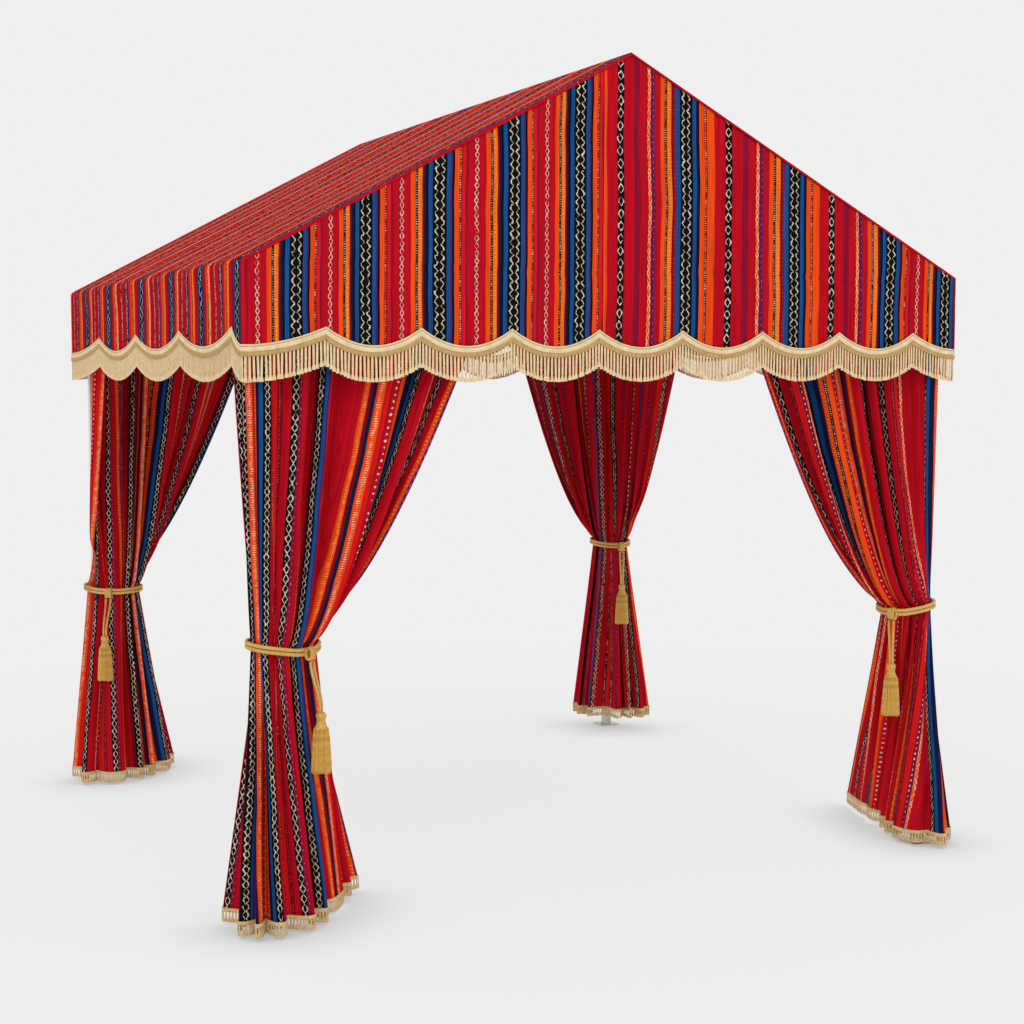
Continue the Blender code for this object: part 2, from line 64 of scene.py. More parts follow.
camera = bpy.data.objects.new("camera", bpy.data.cameras.new("camera"))
bpy.context.scene.collection.objects.link(camera)
camera.data.lens = CAMERA_LENS
camera.data.sensor_width = 36
camera.location = CAMERA_PLACE
camera.rotation_euler = (math.radians(90 + CAMERA_PITCH), 0, math.radians(-CAMERA_YAW))
bpy.context.scene.camera = camera
bpy.context.scene.view_settings.view_transform = "Standard"

# %% [markdown]
# ## Sizes and shapes shared by the pieces
#
# The tent's own sizes are named once. The cloth folds over the eaves and the rakes with a small
# radius, and the trimmed edge is a row of scallops whose heights come from one formula, so the
# braid, the gimp and the fringe all follow the same line.

# %% Sizes
HALF = 1.5                      # half of the square plan, to the outside of the cloth
EAVE_Z = 2.35
PEAK_Z = 3.147
SLOPE = math.atan2(PEAK_Z - EAVE_Z, HALF)
SHEET = 0.0016                  # thickness of the cloth
EDGE_ROUND = 0.012              # radius of the cloth where it turns round a rake or a corner
TRIM_LOW_Z = 2.058
SCALLOP = 0.064
FRONT_TIPS = [0.302 + 0.355 * k - HALF for k in range(8)]
SIDE_TIPS = [0.13 + 0.735 * k - HALF for k in range(4)]
BRAID_DROP = 0.025              # how far the braid, the gimp and the fringe reach down
GIMP_DROP = 0.040
FRINGE_DROP = 0.131


def scallop(side, u):
    """Height of the trimmed edge at a place along a side, and how much its slope lengthens it."""
    tips = FRONT_TIPS if side in ("front", "back") else SIDE_TIPS
    if u <= tips[0]:
        reach, share = tips[0] + HALF, (u + HALF) / (tips[0] + HALF)
    elif u >= tips[-1]:
        reach, share = HALF - tips[-1], (HALF - u) / (HALF - tips[-1])
    else:
        pitch = tips[1] - tips[0]
        reach, share = pitch / 2, abs(2 * ((u - tips[0]) / pitch % 1) - 1)
    return TRIM_LOW_Z + SCALLOP * share**2, math.hypot(1, 2 * SCALLOP * share / reach)


def along_side(side, low, high, step, near_tips=()):
    """Places along a side, with one at each tip of the scallops and at given distances from it."""
    tips = FRONT_TIPS if side in ("front", "back") else SIDE_TIPS
    stops = [low, high]
    for tip in tips:
        stops += [tip] + [tip + sign * near for near in near_tips for sign in (-1, 1)]
    stops = sorted(s for s in stops if low <= s <= high)
    places = []
    for start, end in zip(stops, stops[1:]):
        parts = max(1, round((end - start) / step))
        places += [start + (end - start) * k / parts for k in range(parts)]
    return places + [high]


# %% [markdown]
# ## Helpers for meshes
#
# Nearly every soft piece here is a grid of points bent into shape: rows run down the cloth and
# columns across it. One function turns such a grid into a mesh with a UV map in metres, so that
# woven patterns keep their true size on every piece.

# %% Mesh helpers
def grid_mesh(name, points, uv, wrap_rows=False, wrap_columns=False, flip=False):
    """Mesh from rows and columns of points; unless flipped, its faces point at a viewer who sees
    the rows run down and the columns run to the right."""
    rows, columns = points.shape[:2]
    index = np.arange(rows * columns).reshape(rows, columns)
    if wrap_rows:
        index = np.vstack([index, index[:1]])
    if wrap_columns:
        index = np.hstack([index, index[:, :1]])
    wide = np.arange(uv.shape[0] * uv.shape[1]).reshape(uv.shape[:2])
    order = (0, 3, 2, 1) if flip else (0, 1, 2, 3)
    faces, corners = (
        np.stack([g[:-1, :-1], g[1:, :-1], g[1:, 1:], g[:-1, 1:]], axis=-1)[..., order].reshape(-1, 4)
        for g in (index, wide))
    mesh = bpy.data.meshes.new(name)
    mesh.from_pydata(points.reshape(-1, 3).tolist(), [], faces.tolist())
    mesh.uv_layers.new(name="UVMap").data.foreach_set("uv", uv.reshape(-1, 2)[corners.ravel()].ravel())
    mesh.shade_smooth()
    return mesh


def add_object(name, mesh, look=None):
    made = bpy.data.objects.new(name, mesh)
    bpy.context.scene.collection.objects.link(made)
    if look:
        mesh.materials.append(look)
    return made


def settle(piece):
    """Apply all modifiers of a piece to its mesh."""
    depsgraph = bpy.context.evaluated_depsgraph_get()
    old = piece.data
    mesh = bpy.data.meshes.new_from_object(piece.evaluated_get(depsgraph), depsgraph=depsgraph)
    piece.modifiers.clear()
    piece.data = mesh
    mesh.name = piece.name
    bpy.data.meshes.remove(old)
    return piece


def thicken(piece, thickness=SHEET):
    """Give a sheet its thickness, on the side that its faces point away from."""
    layer = piece.modifiers.new("thickness", "SOLIDIFY")
    layer.thickness = thickness
    layer.offset = -1
    return settle(piece)


def join_pieces(name, pieces):
    """Join objects into the first, with their materials kept."""
    with bpy.context.temp_override(active_object=pieces[0], object=pieces[0],
                                   selected_objects=pieces, selected_editable_objects=pieces):
        bpy.ops.object.join()
    pieces[0].name = name
    pieces[0].data.name = name
    return pieces[0]


def keep(piece, slot, *nodes):
    """Attach a finished piece to the root and hide the plain solids it replaces. The slot is not used."""
    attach(piece, "root")
    if nodes:
        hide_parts(*nodes)
    return piece


def spline_through(points, step):
    """Smooth line through a few points, as an array of points about a step apart."""
    points = [np.array(p, float) for p in points]
    padded = [2 * points[0] - points[1]] + points + [2 * points[-1] - points[-2]]
    line = []
    for p0, p1, p2, p3 in zip(padded, padded[1:], padded[2:], padded[3:]):
        count = max(1, round(np.linalg.norm(p2 - p1) / step))
        for k in range(count):
            t = k / count
            line.append(0.5 * (2 * p1 + (p2 - p0) * t + (2 * p0 - 5 * p1 + 4 * p2 - p3) * t**2
                               + (3 * p1 - p0 - 3 * p2 + p3) * t**3))
    return np.array(line + [points[-1]])


def frames_along(path, closed=False):
    """Two directions across a path at each of its points, carried along without twisting."""
    if closed:
        ahead = np.roll(path, -1, axis=0) - np.roll(path, 1, axis=0)
    else:
        ahead = np.gradient(path, axis=0)
    ahead /= np.linalg.norm(ahead, axis=1, keepdims=True)
    start = np.cross(ahead[0], (0, 0, 1))
    if np.linalg.norm(start) < 0.2:
        start = np.cross(ahead[0], (0, 1, 0))
    across = [start / np.linalg.norm(start)]
    for direction in ahead[1:]:
        carried = across[-1] - direction * across[-1].dot(direction)
        across.append(carried / np.linalg.norm(carried))
    across = np.array(across)
    return across, np.cross(ahead, across)


def tube_mesh(name, path, radius, sides=8, closed=False, plies=0, groove=0.0, lay=0.05):
    """Round tube along a path. With plies it is a laid rope: its section has that many lobes and
    turns once in each lay of length."""
    first, second = frames_along(path, closed)
    steps = np.linalg.norm(np.diff(path, axis=0), axis=1)
    run = np.concatenate([[0], np.cumsum(steps)])
    turns = run[-1] / lay
    if closed:
        turns = round((run[-1] + np.linalg.norm(path[0] - path[-1])) / lay)
        turn = 2 * math.pi * turns * np.arange(len(path)) / len(path)
    else:
        turn = 2 * math.pi * run / lay
    angle = 2 * math.pi * np.arange(sides) / sides
    lobes = 1 - groove * (1 - np.abs(np.cos(plies * angle / 2)))
    size = np.broadcast_to(np.asarray(radius, float), (len(path),))[:, None, None]
    spun = angle[None, :] + (turn[:, None] if plies else 0)
    points = path[:, None] + size * lobes[None, :, None] * (
        np.cos(spun)[..., None] * first[:, None] + np.sin(spun)[..., None] * second[:, None])
    rows = len(path) + (1 if closed else 0)
    along = np.linspace(0, run[-1], rows)
    uv = np.stack(np.meshgrid(np.arange(sides + 1) / sides, along), axis=-1)
    mesh = grid_mesh(name, points, uv, wrap_rows=closed, wrap_columns=True, flip=False)
    if not closed:
        close_ends(mesh, sides, len(path))
    return mesh


def close_ends(mesh, sides, rings):
    """Close both ends of a tube with a fan round a middle point."""
    import bmesh
    shape = bmesh.new()
    shape.from_mesh(mesh)
    shape.verts.ensure_lookup_table()
    rims = [[shape.verts[ring * sides + k] for k in range(sides)] for ring in (0, rings - 1)]
    for rim in rims:
        middle = shape.verts.new(sum((v.co for v in rim), Vector()) / sides)
        for one, two in zip(rim, rim[1:] + rim[:1]):
            shape.faces.new((one, two, middle))
    bmesh.ops.recalc_face_normals(shape, faces=shape.faces)
    shape.to_mesh(mesh)
    shape.free()
    mesh.shade_smooth()


# %% [markdown]
# ## Helpers for materials
#
# Colours are written the way a paint chart gives them, as sRGB hex, and one function turns them
# to the linear numbers that Blender wants. One more function adds a shader node: the values
# after its name fill its inputs in order, and a node or socket given there is linked instead.

# %% Material helpers
def linear(colour):
    """Linear RGBA of an sRGB hex colour."""
    values = [int(colour[k:k + 2], 16) / 255 for k in (1, 3, 5)]
    return [v / 12.92 if v <= 0.04045 else ((v + 0.055) / 1.055) ** 2.4 for v in values] + [1.0]


def add(tree, kind, *values, inputs=None, stops=None, **settings):
    """Add a node: values fill its inputs in order, inputs by name, and stops a colour ramp."""
    made = tree.nodes.new(kind)
    for name, value in settings.items():
        setattr(made, name, value)
    if stops:
        ramp = made.color_ramp
        while len(ramp.elements) < len(stops):
            ramp.elements.new(1.0)
        for element, (position, colour) in zip(ramp.elements, stops):
            element.position = position
            element.color = colour
    for socket, value in [*zip(made.inputs, values)] + [(made.inputs[k], v) for k, v in (inputs or {}).items()]:
        if value is None:
            continue
        if isinstance(value, bpy.types.Node):
            value = value.outputs[0]
        if isinstance(value, bpy.types.NodeSocket):
            tree.links.new(value, socket)
        else:
            socket.default_value = value
    return made


def new_look(name, rough, **sockets):
    """New material: its tree and its Principled shader, with constants set on the shader."""
    made = bpy.data.materials.new(name)
    made.use_nodes = True
    shader = made.node_tree.nodes["Principled BSDF"]
    shader.inputs["Roughness"].default_value = rough
    for socket, value in sockets.items():
        shader.inputs[socket.replace("_", " ")].default_value = value
    return made, made.node_tree, shader


# %% [markdown]
# ## The striped cloth
#
# The real cloth is a warp-faced wool weave: all its colour is in the long warp yarns, so the
# pattern is a list of stripes across the cloth that never changes along it, and small figures in
# white yarn repeat inside some of the stripes. The material copies that. Each cloth has a warp
# plan, a list of stripes with their widths in millimetres. Colour ramps turn the
# place across the cloth into a ground colour and into the numbers of that stripe's figure. One
# formula then draws every figure: a pair of lines that opens and closes along the stripe makes a
# chain, and with other numbers it makes diamonds, loops, dots or dashes.

# %% Yarn colours and figures
YARN = {
    "crimson": "#B4061B", "red": "#CE1416", "dark red": "#740510", "orange": "#E8480E",
    "amber": "#EE6C18", "blue": "#124A85", "navy": "#10143A", "black": "#08070A",
    "purple": "#4A1F5C", "rose": "#D04862", "plum": "#800D32", "white": "#D2C6AE",
    "straw": "#EFA850"}

# Each figure: length of a repeat in metres, place of the pair of lines where it is closed, how
# far it opens, and half the thickness of a line, all but the first in half widths of the stripe.
FIGURES = {
    "plain": (0.050, 0.0, 0.0, 0.00),
    "chain": (0.031, 0.26, 0.54, 0.12),
    "lozenges": (0.036, -0.10, 0.85, 0.17),
    "fine diamonds": (0.042, -0.06, 0.52, 0.085),
    "fine loops": (0.026, 0.10, 0.42, 0.11),
    "diamonds": (0.046, -0.36, 1.10, 0.17),
    "loops": (0.027, -0.10, 0.85, 0.18),
    "dots": (0.0085, -1.50, 1.50, 0.52),
    "dashes": (0.024, -1.20, 1.20, 0.36),
    "specks": (0.015, -2.60, 2.60, 0.38)}
# The next value is a painted sheen: an even lift of every yarn's colour that stands in for the light its fibres'
# surface reflects.
PAINTED_SHEEN = 0.004                   # light that every yarn reflects, however dark its dye is
BASE_SHIFT = 4.0                # added to the closed place so that a ramp can hold it
FIGURE_SCALE = 8.0              # and all three are divided by this


# %% Warp plans: width in millimetres, ground colour, figure and its yarn
CHAIN_BAND = [(6, "black", "plain", "white"), (40, "black", "chain", "white"),
              (5, "black", "plain", "white")]

NARROW_PLAN = [(9, "navy", "plain", "white"), (6, "black", "plain", "white"),
               (16, "blue", "plain", "white")] + CHAIN_BAND + [
    (13, "blue", "plain", "white"), (7, "purple", "plain", "white"), (7, "black", "plain", "white"),
    (18, "orange", "plain", "white"), (8, "dark red", "dots", "white"), (15, "red", "plain", "white"),
    (6, "plum", "plain", "white"), (26, "crimson", "plain", "white"),
    (17, "crimson", "loops", "white"), (24, "crimson", "plain", "white"),
    (19, "orange", "plain", "white"), (8, "black", "dots", "white"),
    (16, "amber", "specks", "straw"), (7, "dark red", "plain", "white")]

WIDE_PLAN = [(8, "dark red", "plain", "white"), (8, "plum", "specks", "rose"),
             (20, "blue", "plain", "white")] + CHAIN_BAND + [
    (16, "blue", "plain", "white"), (7, "navy", "plain", "white"), (6, "black", "plain", "white"),
    (20, "orange", "plain", "white"), (10, "dark red", "dots", "white"), (31, "orange", "plain", "white"),
    (44, "crimson", "plain", "white"), (27, "black", "diamonds", "white"),
    (46, "crimson", "plain", "white"), (20, "plum", "plain", "white"), (34, "crimson", "plain", "white"),
    (15, "orange", "loops", "white"), (6, "dark red", "plain", "white"), (10, "purple", "dashes", "rose"),
    (25, "crimson", "plain", "white"), (18, "orange", "plain", "white"), (10, "black", "dots", "white"),
    (20, "amber", "specks", "straw")]


ROOF_PLAN = [(10, "purple", "plain", "white"), (12, "blue", "plain", "white")] + CHAIN_BAND + [
    (10, "blue", "plain", "white"), (9, "navy", "plain", "white"), (30, "crimson", "plain", "white"),
    (22, "orange", "plain", "white"), (9, "black", "dots", "white"), (26, "amber", "loops", "white"),
    (56, "crimson", "plain", "white"), (17, "dark red", "loops", "white"),
    (46, "crimson", "plain", "white"), (10, "plum", "dashes", "rose"), (22, "black", "lozenges", "white"),
    (16, "purple", "plain", "white"), (24, "red", "plain", "white"),
    (22, "orange", "plain", "white"), (9, "black", "dots", "white"), (26, "amber", "specks", "straw"),
    (42, "crimson", "plain", "white"), (9, "dark red", "plain", "white")]

# From the leading edge of a curtain.
CURTAIN_PLAN = [
    (10, "dark red", "plain", "white"), (22, "orange", "dots", "straw"), (60, "crimson", "plain", "white"),
    (12, "orange", "dashes", "white"), (30, "red", "plain", "white"), (10, "purple", "plain", "white"),
    (12, "blue", "plain", "white"), (40, "black", "fine loops", "white"), (20, "dark red", "plain", "white"),
    (56, "crimson", "plain", "white"), (16, "orange", "dots", "straw"), (20, "purple", "loops", "rose"),
    (24, "orange", "specks", "straw"), (30, "crimson", "plain", "white"), (12, "plum", "dashes", "rose"),
    (24, "black", "lozenges", "white"), (30, "crimson", "plain", "rose"), (16, "dark red", "dots", "rose"),
    (28, "red", "plain", "white"), (16, "plum", "dashes", "white"), (15, "orange", "loops", "white"),
    (52, "crimson", "plain", "white"), (30, "black", "fine loops", "white"), (18, "blue", "plain", "white"),
    (24, "navy", "plain", "white"), (22, "orange", "specks", "straw"), (12, "black", "dots", "white"),
    (26, "orange", "plain", "white"), (34, "crimson", "dashes", "white"), (24, "red", "plain", "white"),
    (34, "orange", "dots", "white"), (16, "navy", "plain", "white")]

CRIMSON_PLAN = [
    (10, "dark red", "plain", "white"), (24, "dark red", "loops", "white"), (50, "crimson", "plain", "white"),
    (12, "black", "dots", "white"), (30, "red", "plain", "white"), (26, "black", "fine loops", "white"),
    (40, "crimson", "plain", "white"), (14, "plum", "dashes", "rose"), (54, "crimson", "plain", "white"),
    (16, "black", "plain", "white"), (32, "crimson", "dots", "rose"), (10, "navy", "plain", "white"),
    (40, "crimson", "plain", "white"), (14, "orange", "dots", "straw"), (30, "red", "plain", "white"),
    (26, "dark red", "loops", "white"), (40, "crimson", "plain", "white"), (9, "blue", "plain", "white")]


# %% Striped cloth material
def striped_cloth(name, plan):
    """Woven cloth whose UV x runs across the warp, in metres, and whose y runs along it."""
    look, tree, shader = new_look(name, 0.9, Specular_IOR_Level=0.0)
    total = sum(stripe[0] for stripe in plan) / 1000
    ramps = {"ground": [], "numbers": [], "shape": [], "yarn": []}
    start = 0.0
    for width, colour, figure, yarn in plan:
        half = width / 2000
        length, closed, opening, line = FIGURES[figure]
        numbers = ((start + half) / total, half / total, length, 1)
        shape = ((closed + BASE_SHIFT) / FIGURE_SCALE, opening / FIGURE_SCALE, line / FIGURE_SCALE, 1)
        for ramp, value in zip(ramps.values(), (linear(YARN[colour]), numbers, shape, linear(YARN[yarn]))):
            ramp.append((start / total, value))
        start += 2 * half
    uv = add(tree, "ShaderNodeUVMap", uv_map="UVMap")
    at = add(tree, "ShaderNodeSeparateXYZ", uv)
    across, along = at.outputs["X"], at.outputs["Y"]

    def noise(scale, detail):
        moved = add(tree, "ShaderNodeMapping", uv, inputs={"Scale": (*scale, 1)})
        made = add(tree, "ShaderNodeTexNoise", inputs={"Vector": moved, "Scale": 1.0, "Detail": detail})
        return made.outputs[0]

    def math_node(operation, *values):
        return add(tree, "ShaderNodeMath", *values, operation=operation).outputs[0]

    # The stripes wander a little, as loosely beaten warp does.
    wander = math_node("MULTIPLY_ADD", math_node("SUBTRACT", noise((1.3, 2.4), 2.0), 0.5), 0.024, across)
    share = math_node("FRACT", math_node("DIVIDE", wander, total))
    ground, numbers, shape, yarn = (
        add(tree, "ShaderNodeValToRGB", share, stops=stops) for stops in ramps.values())
    for ramp in (ground, numbers, shape, yarn):
        ramp.color_ramp.interpolation = "CONSTANT"
    numbers = add(tree, "ShaderNodeSeparateColor", numbers).outputs
    shape = add(tree, "ShaderNodeSeparateColor", shape).outputs

    # The figure: a pair of lines on both sides of the stripe's middle that opens and closes.
    rough = math_node("SUBTRACT", noise((110, 110), 2.0), 0.5)
    local = math_node("DIVIDE", math_node("SUBTRACT", share, numbers[0]), numbers[1])
    edge = math_node("ABSOLUTE", local)
    local = math_node("ABSOLUTE", math_node("MULTIPLY_ADD", rough, 0.65, local))
    step = math_node("MULTIPLY_ADD", rough, 0.007, along)
    half = math_node("MULTIPLY", numbers[2], 0.5)
    swing = math_node("DIVIDE", math_node("PINGPONG", step, half), half)
    swing = math_node("MINIMUM", math_node("MULTIPLY", swing, 1.2), 1.0)
    opening = math_node("MULTIPLY", shape[1], FIGURE_SCALE)
    closed = math_node("MULTIPLY_ADD", shape[0], FIGURE_SCALE, -BASE_SHIFT)
    off = math_node("ABSOLUTE", math_node("SUBTRACT", local, math_node("MULTIPLY_ADD", swing, opening, closed)))
    thick = math_node("MULTIPLY", shape[2], FIGURE_SCALE)
    worn = math_node("MULTIPLY_ADD", noise((60, 40), 1.0), 3.2, -0.85)
    figure = math_node("LESS_THAN", off, math_node("MULTIPLY", thick, worn))

    # Streaks along the warp, a dark line where two stripes meet, and an even painted sheen that lifts every colour
    # a little.
    streak = add(tree, "ShaderNodeMapRange", noise((330, 4), 3.0), 0.32, 0.68, 0.78, 1.27).outputs[0]
    broad = add(tree, "ShaderNodeMapRange", noise((70, 1.5), 2.0), 0.3, 0.7, 0.86, 1.10).outputs[0]
    meet = add(tree, "ShaderNodeMapRange", edge, 0.84, 1.0, 1.0, 0.66).outputs[0]
    pick = add(tree, "ShaderNodeMapRange", noise((40, 420), 1.0), 0.3, 0.7, 0.90, 1.08).outputs[0]
    shade = math_node("MULTIPLY", math_node("MULTIPLY", streak, broad), math_node("MULTIPLY", meet, pick))
    drawn = add(tree, "ShaderNodeMix", data_type="RGBA", inputs={"Factor": figure})
    tree.links.new(ground.outputs[0], drawn.inputs["A"])
    tree.links.new(yarn.outputs[0], drawn.inputs["B"])
    # Painted sheen: the same small amount is added to every colour, since the shader's own specular is off.
    tinted_with_painted_sheen = add(tree, "ShaderNodeVectorMath", drawn.outputs["Result"], shade, (PAINTED_SHEEN,) * 3,
                 operation="MULTIPLY_ADD")
    tree.links.new(tinted_with_painted_sheen.outputs[0], shader.inputs["Base Color"])
    # The ribs are drawn twice as coarse as the real weave, so that they show at this distance.
    height = math_node("MULTIPLY_ADD", noise((160, 500), 1.0), 0.6, figure)
    bump = add(tree, "ShaderNodeBump", inputs={"Strength": 0.5, "Distance": 0.0010, "Height": height})
    tree.links.new(bump.outputs[0], shader.inputs["Normal"])
    return look


NARROW = striped_cloth("striped_wool_narrow_repeat", NARROW_PLAN)
WIDE = striped_cloth("striped_wool_wide_repeat", WIDE_PLAN)
ROOFING = striped_cloth("striped_wool_roof", ROOF_PLAN)
CURTAINING = striped_cloth("striped_wool_curtain", CURTAIN_PLAN)
CRIMSON = striped_cloth("striped_wool_crimson", CRIMSON_PLAN)
for label, plan in (("narrow", NARROW_PLAN), ("wide", WIDE_PLAN), ("roof", ROOF_PLAN),
                    ("curtain", CURTAIN_PLAN), ("crimson", CRIMSON_PLAN)):
    print(label, "repeat:", sum(stripe[0] for stripe in plan), "mm in", len(plan), "stripes")


# %% Rope, braid, gimp and steel
def yarn_look(name, colour, dark, rough, scale, strength, patch=9.0, shine=0.4, line=None):
    """Spun or woven yarn: fine lines along it, painted shade in their hollows, with patches of tint.

    A line is painted shade in a groove of a braid, given by where it starts and ends down the UV map.
    """
    look, tree, shader = new_look(name, rough, Specular_IOR_Level=shine)
    uv = add(tree, "ShaderNodeUVMap", uv_map="UVMap")
    fine = add(tree, "ShaderNodeMapping", uv, inputs={"Scale": scale})
    grain = add(tree, "ShaderNodeTexNoise", inputs={"Vector": fine, "Scale": 1.0, "Detail": 3.0})
    place = add(tree, "ShaderNodeTexCoord")
    cloudy = add(tree, "ShaderNodeTexNoise",
                 inputs={"Vector": place.outputs["Object"], "Scale": patch, "Detail": 2.0})
    # The dark colour is painted shade where the grain, which is also the bump's height, lies low, and a real tint
    # in the darker patches.
    mixed = add(tree, "ShaderNodeMath", cloudy.outputs[0], 0.4, grain.outputs[0],
                operation="MULTIPLY_ADD")
    share = add(tree, "ShaderNodeMapRange", mixed, 0.45, 0.95, 0.0, 1.0)
    tint = add(tree, "ShaderNodeMix", data_type="RGBA",
               inputs={"Factor": share.outputs[0], "A": linear(dark), "B": linear(colour)})
    finished = tint.outputs["Result"]
    # Painted shade in the braid's groove, drawn as a darker stretch.
    if line:
        down = add(tree, "ShaderNodeSeparateXYZ", uv).outputs["Y"]
        middle, reach = (line[0] + line[1]) / 2, (line[1] - line[0]) / 2
        inside = add(tree, "ShaderNodeMath", down, middle, reach, operation="COMPARE")
        finished = add(tree, "ShaderNodeMix", data_type="RGBA", inputs={"Factor": inside, "B": linear(dark)})
        tree.links.new(tint.outputs["Result"], finished.inputs["A"])
        finished = finished.outputs["Result"]
    tree.links.new(finished, shader.inputs["Base Color"])
    bump = add(tree, "ShaderNodeBump",
               inputs={"Strength": strength, "Distance": 0.001, "Height": grain.outputs[0]})
    tree.links.new(bump.outputs[0], shader.inputs["Normal"])
    return look


# The second colour of each yarn is painted shade in the hollows of its grain and the tint of its darker patches.
GOLD_ROPE = yarn_look("satin_rope", "#F6CB72", "#A57630", 0.40, (10, 900, 1), 0.4)
GOLD_THREAD = yarn_look("tassel_thread", "#F4C25C", "#9C6E22", 0.45, (14, 60, 1), 0.5, patch=160)
# The cream braid's line is painted shade in the groove under its rolled top edge.
CREAM_BRAID = yarn_look("cream_braid", "#FFEFCC", "#C9A872", 0.75, (420, 420, 1), 0.6, patch=30,
                        shine=0.15, line=(0.0046, 0.0078))
CREAM_CORD = yarn_look("cream_cord", "#FFEAC2", "#C9A269", 0.75, (12, 500, 1), 0.5, patch=75, shine=0.15)
HEM_CORD = yarn_look("hem_cord", "#F2D8A2", "#AA8148", 0.75, (12, 500, 1), 0.5, patch=75, shine=0.15)
GOLD_GIMP = yarn_look("gold_gimp", "#E6C88C", "#AE8748", 0.6, (300, 300, 1), 0.6, patch=60, shine=0.2)


def steel_look():
    """Powder-coated steel tube: an even, slightly orange-peeled white coat."""
    look, tree, shader = new_look("powder_coated_steel", 0.45)
    place = add(tree, "ShaderNodeTexCoord")
    peel = add(tree, "ShaderNodeTexNoise",
               inputs={"Vector": place.outputs["Object"], "Scale": 420.0, "Detail": 2.0})
    cloudy = add(tree, "ShaderNodeTexNoise",
                 inputs={"Vector": place.outputs["Object"], "Scale": 6.0, "Detail": 3.0})
    tint = add(tree, "ShaderNodeMix", data_type="RGBA",
               inputs={"Factor": cloudy.outputs[0], "A": linear("#DAD9D4"), "B": linear("#E6E5E1")})
    tree.links.new(tint.outputs["Result"], shader.inputs["Base Color"])
    bump = add(tree, "ShaderNodeBump",
               inputs={"Strength": 0.15, "Distance": 0.0004, "Height": peel.outputs[0]})
    tree.links.new(bump.outputs[0], shader.inputs["Normal"])
    return look


STEEL = steel_look()
STEEL_NODES = ("leg", "corner_block", "rafter", "beam", "curtain_rail", "apex_bracket", "ridge_beam")
for name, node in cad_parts.items():
    if name.startswith(STEEL_NODES):
        node.data.materials.clear()
        node.data.materials.append(STEEL)

# %% [markdown]
# ## Where each curtain hangs
#
# A curtain hangs from its rail, is squeezed into an oval bundle round the leg by its rope, and
# opens again to a wide hem. These few functions are the plain model's own: they give the outer
# face of the gathered curtain at any height, and with it the places of the rope, the knot, the
# hanging cords and the tassel. Each corner has its own frame: a runs inwards along X and b
# inwards along Y, both from the outside corner of the roof.

# %% Curtain envelope
CURTAIN_TOP = 2.180
HEM_OUT = 0.09
WAIST = 0.018
UPPER_FLARE, LOWER_FLARE = 0.65, 1.00
LEG_INSET = 0.085
BUNDLE_MAJOR, BUNDLE_MINOR, LEG_COVER = 0.112, 0.092, 0.050
LEG_HUG = 0.012                 # thin cloth lies closer to the leg than the plain solid does
ROPE_R = 0.0075
CORD_R = 0.0052
TASSEL_LENGTH = 0.214
TASSEL_R = 0.0370
RING_CLEAR = 0.003
TIE_RISE = {"front_left": 0.030, "front_right": 0.034, "back_left": 0.016, "back_right": 0.012}
KNOT = (0.021, 0.018, 0.026)
CORD_SPREAD, CORD_MEET, CORD_CLEAR = 0.011, 0.0056, 0.004
GAP = 0.0003

CORNERS = {
    "front_left": {
        "sign": (-1, -1), "tie_z": 0.985, "hem_z": 0.010, "gather": (0.165, 0.110), "knot": -51,
        "cord_drop": 0.180,
        "rail": [(0.93, 0.085), (0.24, 0.064), (0.12, 0.022), (0.040, 0.018), (0.020, 0.055),
                 (0.030, 0.13), (0.055, 0.25), (0.070, 0.40)],
        "hem": [(0.55, 0.38), (0.42, 0.20), (0.28, -0.01), (0.14, -0.09), (0.00, -0.08),
                (-0.06, 0.04), (-0.05, 0.18)],
        "arc": (50, -230)},
    "front_right": {
        "sign": (1, -1), "tie_z": 0.985, "hem_z": 0.012, "gather": (0.145, 0.100), "knot": -155,
        "cord_drop": 0.180,
        "rail": [(0.95, 0.085), (0.24, 0.064), (0.12, 0.022), (0.040, 0.018), (0.020, 0.055),
                 (0.030, 0.13), (0.065, 0.22)],
        "hem": [(-0.04, 0.78), (0.03, 0.56), (0.09, 0.36), (0.16, 0.17), (0.14, 0.00),
                (0.04, -0.06), (-0.05, 0.03), (-0.045, 0.17)],
        "arc": (50, -230)},
    "back_left": {
        "sign": (-1, 1), "tie_z": 0.905, "hem_z": 0.010, "gather": (0.150, 0.150), "knot": -111,
        "cord_drop": 0.165,
        "rail": [(0.90, 0.085), (0.24, 0.090), (0.150, 0.150), (0.090, 0.24), (0.085, 0.44)],
        "hem": [(0.43, -0.05), (0.46, 0.12), (0.39, 0.29), (0.26, 0.41), (0.10, 0.47),
                (-0.03, 0.45), (-0.08, 0.37), (-0.08, 0.24)],
        "arc": (-60, 195)},
    "back_right": {
        "sign": (1, 1), "tie_z": 1.030, "hem_z": 0.070, "gather": (0.115, 0.180), "knot": -96,
        "cord_drop": 0.180,
        "rail": [(0.65, 0.085), (0.24, 0.090), (0.150, 0.150), (0.090, 0.24), (0.085, 0.92)],
        "hem": [(0.21, -0.08), (0.27, 0.04), (0.25, 0.16), (0.17, 0.27), (0.03, 0.33),
                (-0.08, 0.30), (-0.09, 0.17)],
        "arc": (-60, 190)},
}


def place(corner, a, b, z):
    """World position of a point in a corner's own frame."""
    sign_x, sign_y = CORNERS[corner]["sign"]
    return Vector((sign_x * (HALF - a), sign_y * (HALF - b), z))


